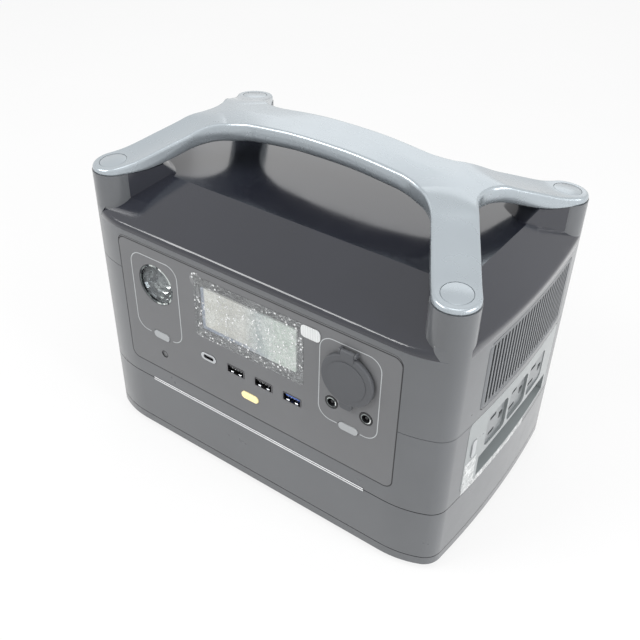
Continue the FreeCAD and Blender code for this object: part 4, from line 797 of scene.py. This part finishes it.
def block_faces(rows, columns):
    """Faces of a closed block whose front grid of points is followed by its back grid."""
    def at(i, k):
        return i * columns + k

    n, faces = rows * columns, []
    for i in range(rows - 1):
        for k in range(columns - 1):
            faces.append([at(i, k), at(i, k + 1), at(i + 1, k + 1), at(i + 1, k)])
            faces.append([n + at(i, k), n + at(i + 1, k), n + at(i + 1, k + 1), n + at(i, k + 1)])
    top, end = rows - 1, columns - 1
    for k in range(end):
        faces.append([at(0, k), n + at(0, k), n + at(0, k + 1), at(0, k + 1)])
        faces.append([at(top, k), at(top, k + 1), n + at(top, k + 1), n + at(top, k)])
    for i in range(top):
        faces.append([at(i, 0), at(i + 1, 0), n + at(i + 1, 0), n + at(i, 0)])
        faces.append([at(i, end), n + at(i, end), n + at(i + 1, end), at(i + 1, end)])
    return faces


def build_post_feet():
    """Small wedges where the wall runs up into each front and rear face of the posts."""
    low, high, start, slope, end = 171.15, 179.5, 129.0, 0.70, 133.4
    ease_from, ease_over = 175.5, 4.0
    proud, skin, depth = 0.03, 0.1, 13.4
    rows, columns = 9, 9
    parts = []
    for sx in (-1, 1):
        for sy in (-1, 1):
            front, back = [], []
            for i in range(rows):
                z = low + (high - low) * i / (rows - 1)
                left = start - slope * (z - low)
                ease = min(max((z - ease_from) / ease_over, 0), 1)
                for k in range(columns):
                    x = left + (end - left) * k / (columns - 1)
                    y = front_y(x)
                    dx, dy = x - POST_X, y + POST_Y
                    size = math.hypot(dx, dy)
                    r = size + proud + (CORNER - skin - size - proud) * ease ** 1.5
                    front.append(Vector((sx * (POST_X + dx / size * r), -sy * (-POST_Y + dy / size * r), z)))
                    back.append(Vector((sx * (POST_X + dx / size * depth), -sy * (-POST_Y + dy / size * depth), z)))
            faces = block_faces(rows, columns)
            if sx * sy > 0:
                faces = [face[::-1] for face in faces]
            parts.append((front + back, faces))
    verts, faces = joined(parts)
    new_piece("post_feet", [v * MM for v in verts], faces, mats["case_matte"], smooth=40.0)


def build_blister():
    """Round blister in the film's upper corner."""
    profile = [(0, 0.34), (1.6, 0.31), (3.2, 0.24), (4.6, 0.12), (5.4, 0.0), (5.4, -0.02), (0, -0.02)]
    verts, faces = lathe(profile, (-41.0, FRONT - 0.27, 157.2), (0, -1, 0), 48)
    new_piece("film_blister", [v * MM for v in verts], faces, mats["film"])


# ---------- the lamp's cup, small metal details ----------

def build_reflector():
    """Cup of flat facets, closed by its rim and outer wall."""
    low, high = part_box("lamp_reflector")
    centre = ((low[0] + high[0]) / 2 / MM, 0, (low[2] + high[2]) / 2 / MM)
    rim, throat, mouth, wall = low[1] / MM, high[1] / MM, 13.8, 1.2
    lip, neck, steps = 2.0, 4.0, 7
    inner = [(mouth, rim), (mouth, rim + lip)]
    for k in range(1, steps + 1):
        inner.append((neck + math.sqrt(1 - k / steps) * (mouth - neck), rim + lip + (throat - rim - lip) * k / steps))
    outer = [(r + wall - 0.01, y) for r, y in reversed(inner)]
    loop = inner + outer
    sides, verts, faces = 20, [], []
    for k, (r, y) in enumerate(loop):
        turn = 0.5 * (k % 2) if 1 < k < len(inner) else 0.0
        for i in range(sides):
            a = 2 * math.pi * (i + turn) / sides
            verts.append(((centre[0] + r * math.cos(a)) * MM, y * MM, (centre[2] + r * math.sin(a)) * MM))
    n = len(loop)
    for k in range(n):
        p, q = k * sides, (k + 1) % n * sides
        for i in range(sides):
            j = (i + 1) % sides
            faces.append([p + i, p + j, q + j])
            faces.append([p + i, q + j, q + i])
    obj = new_piece("lamp_cup", verts, faces, mats["faceted_chrome_painted_reflections"], smooth=5.0)
    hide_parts("lamp_reflector")


def bevelled_box(x0, x1, y0, y1, z0, z1, cut):
    """Verts and faces of a box with its front edges (low y) cut off."""
    front = [(x0 + cut, y0, z0 + cut), (x1 - cut, y0, z0 + cut), (x1 - cut, y0, z1 - cut), (x0 + cut, y0, z1 - cut)]
    mid = [(x0, y0 + cut, z0), (x1, y0 + cut, z0), (x1, y0 + cut, z1), (x0, y0 + cut, z1)]
    back = [(x, y1, z) for x, y, z in mid]
    verts = [Vector(v) for v in front + mid + back]
    faces = [[0, 1, 2, 3], [11, 10, 9, 8]]
    for base in (0, 4):
        for i in range(4):
            j = (i + 1) % 4
            faces.append([base + i, base + 4 + i, base + 4 + j, base + j])
    return verts, faces


TONGUE_HALF, TWO_TONGUES = 5.4, 20.0


def build_contacts():
    """Springs on the floor of each USB shell, and contact strips under each tongue."""
    for name, node in (("usb_springs", "usb_a_tongues"), ("usb_fast_springs", "usb_fast_tongue")):
        low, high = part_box(node)
        left, right = low[0] / MM, high[0] / MM
        two = right - left > TWO_TONGUES
        centres = [left + TONGUE_HALF, right - TONGUE_HALF] if two else [(left + right) / 2]
        parts = []
        for x in centres:
            for dx in (-3.3, 3.3):
                parts.append(bevelled_box(x + dx - 1.1, x + dx + 1.1, -91.6, -85.5, 95.15, 95.75, 0.2))
            for k in range(4):
                cx = x - 3.6 + 2.4 * k
                parts.append(bevelled_box(cx - 0.55, cx + 0.55, -90.9, -84.0, 97.75, 98.18, 0.1))
        verts, faces = joined(parts)
        new_piece(name, [v * MM for v in verts], faces, mats["port_silver"])


def build_reset_ring():
    """Dark ring on the panel round the small reset button."""
    low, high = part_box("reset_button")
    centre = ((low[0] + high[0]) / 2 / MM, FRONT, (low[2] + high[2]) / 2 / MM)
    r = RESET_GAP
    ring = [(r - 0.25, 0.1), (r - 0.25, -0.03), (r + 0.25, -0.03), (r + 0.25, 0.1), (r - 0.25, 0.1)]
    verts, faces = lathe(ring, centre, (0, 1, 0), 48)
    new_piece("reset_ring", [v * MM for v in verts], faces, mats["inner_black"])


def build_jack_rings():
    low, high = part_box("dc_jacks")
    z = (low[2] + high[2]) / 2 / MM
    ring = [(2.78, 0.25), (2.85, -0.05), (3.05, -0.15), (3.30, -0.15), (3.48, -0.02), (3.5, 0.2), (2.78, 0.25)]
    parts = [lathe(ring, (x, low[1] / MM, z), (0, 1, 0), 48) for x in (low[0] / MM + 4.6, high[0] / MM - 4.6)]
    verts, faces = joined(parts)
    new_piece("jack_rings", [v * MM for v in verts], faces, mats["faceted_chrome_painted_reflections"])


build_lines()
build_post_feet()
build_blister()
build_reflector()
build_contacts()
build_jack_rings()
build_reset_ring()


# ---------- materials and edges of the CAD nodes ----------

slots = {row["node"]: row["material_slot"] for row in frame["record"]["subparts"]}
own_finish = {"right_grille": "grille_plastic_painted_shade", "left_grille": "grille_plastic_painted_shade", "ac_panel": "side_pale",
              "ac_outlets": "outlet_plastic_painted_shade", "seam_trim": "trim_metal", "reset_button": "panel_matte",
              "ledge_film": "film_white", "usb_c_port": "port_silver", "usb_shells": "port_dark"}
soft_edges = {"upper_case": 0.30, "middle_case": 0.30, "base_case": 0.30, "base_tray": 0.6, "roof_cover": 1.3,
              "front_panel": 0.22, "rear_panel": 0.35, "ac_panel": 0.3, "ac_outlets": 0.25, "lamp_button": 0.35,
              "power_button": 0.35, "dc_button": 0.35, "ac_button": 0.35, "socket_cap": 0.3,
              "input_panel": 0.3, "seam_trim": 0.12, "usb_shells": 0.08}
even_faces = {"input_panel", "ac_panel", "upper_case", "middle_case", "base_case", "base_tray", "front_panel",
              "rear_panel"}
for name, obj in nodes.items():
    if obj.hide_render:
        continue
    obj.data.materials.clear()
    obj.data.materials.append(mats[own_finish.get(name, slots[name])])
    finish_edges(obj, soft_edges.get(name, 0), even=name in even_faces)


# ---------- stage, light and camera ----------

FLOOR_GLOW = 0.80      # share of plain white in what is seen of the floor
WORLD_LIGHT = 0.52


def seen_rays(tree):
    """1 for the rays of the camera, of gloss and of clear pieces."""
    path = tree.nodes.new("ShaderNodeLightPath")
    one = tree.nodes.new("ShaderNodeMath")
    one.operation = "MAXIMUM"
    tree.links.new(path.outputs["Is Camera Ray"], one.inputs[0])
    tree.links.new(path.outputs["Is Glossy Ray"], one.inputs[1])
    two = tree.nodes.new("ShaderNodeMath")
    two.operation = "MAXIMUM"
    tree.links.new(one.outputs[0], two.inputs[0])
    tree.links.new(path.outputs["Is Transmission Ray"], two.inputs[1])
    return two.outputs[0]


def stage():
    mesh = bpy.data.meshes.new("floor")
    mesh.from_pydata([(-6, -6, 0), (6, -6, 0), (6, 6, 0), (-6, 6, 0)], [], [[0, 1, 2, 3]])
    floor = bpy.data.objects.new("floor", mesh)
    bpy.context.scene.collection.objects.link(floor)
    m = Mat("floor_white", rough=0.6, spec=0.2)
    m.color(m.ramp(m.noise(6.0, 3.0), (0.3, (0.90, 0.90, 0.90)), (0.7, (0.93, 0.93, 0.93))))
    glow = m.node("ShaderNodeEmission")
    mix = m.node("ShaderNodeMixShader")
    share = m.math("MULTIPLY", seen_rays(m.t), FLOOR_GLOW)
    m.link(share, mix.inputs[0])
    m.link(m.b.outputs[0], mix.inputs[1])
    m.link(glow.outputs[0], mix.inputs[2])
    m.link(mix.outputs[0], m.t.nodes["Material Output"].inputs["Surface"])
    mesh.materials.append(m.m)


def area(name, where, target, size, power):
    light = bpy.data.lights.new(name, "AREA")
    light.shape = "RECTANGLE"
    light.size, light.size_y = size
    light.energy = power
    obj = bpy.data.objects.new(name, light)
    obj.location = where
    obj.rotation_mode = "QUATERNION"
    obj.rotation_quaternion = (Vector(target) - Vector(where)).to_track_quat("-Z", "Y")
    bpy.context.scene.collection.objects.link(obj)


def lights():
    world = bpy.data.worlds.new("studio")
    world.use_nodes = True
    tree = world.node_tree
    plain = tree.nodes["Background"]
    plain.inputs["Color"].default_value = (1, 1, 1, 1)
    plain.inputs["Strength"].default_value = WORLD_LIGHT
    white = tree.nodes.new("ShaderNodeBackground")
    white.inputs["Color"].default_value = (1, 1, 1, 1)
    mix = tree.nodes.new("ShaderNodeMixShader")
    tree.links.new(seen_rays(tree), mix.inputs[0])
    tree.links.new(plain.outputs[0], mix.inputs[1])
    tree.links.new(white.outputs[0], mix.inputs[2])
    tree.links.new(mix.outputs[0], tree.nodes["World Output"].inputs["Surface"])
    bpy.context.scene.world = world
    area("key", (-0.60, -0.76, 0.95), (0, 0, 0.15), (0.75, 0.40), 8.0)
    area("top", (0.25, -0.30, 1.55), (0, 0, 0.15), (0.7, 0.7), 3.5)
    area("card", (-0.62, 1.35, 1.05), (0, 0, 0.19), (1.3, 0.9), 2.4)
    area("side", (1.25, -0.05, 0.50), (0, 0, 0.10), (0.6, 0.5), 11.0)


SENSOR, FRAME = 36.0, 640.0    # sensor width in mm, picture width in pixels


def camera():
    f, az, el, roll, cx, cy, cz = (840.13, 34.8277, 36.1517, 1.4464, 273.3492, -406.9367, 448.5963)
    az, el, roll = map(math.radians, (az, el, roll))
    right = Vector((math.cos(az), math.sin(az), 0))
    forward = Vector((-math.sin(az) * math.cos(el), math.cos(az) * math.cos(el), -math.sin(el)))
    up = right.cross(forward)
    r2 = right * math.cos(roll) + up * math.sin(roll)
    u2 = -right * math.sin(roll) + up * math.cos(roll)
    cam = bpy.data.cameras.new("camera")
    cam.sensor_width = SENSOR
    cam.lens = f * SENSOR / FRAME
    cam.clip_start, cam.clip_end = 0.01, 30
    obj = bpy.data.objects.new("camera", cam)
    basis = Matrix((r2, u2, -forward)).transposed().to_4x4()
    obj.matrix_world = Matrix.Translation(Vector((cx, cy, cz)) * MM) @ basis
    bpy.context.scene.collection.objects.link(obj)
    bpy.context.scene.camera = obj


stage()
lights()
camera()
bpy.context.scene.view_settings.view_transform = "Standard"
bpy.context.scene.view_settings.look = "None"
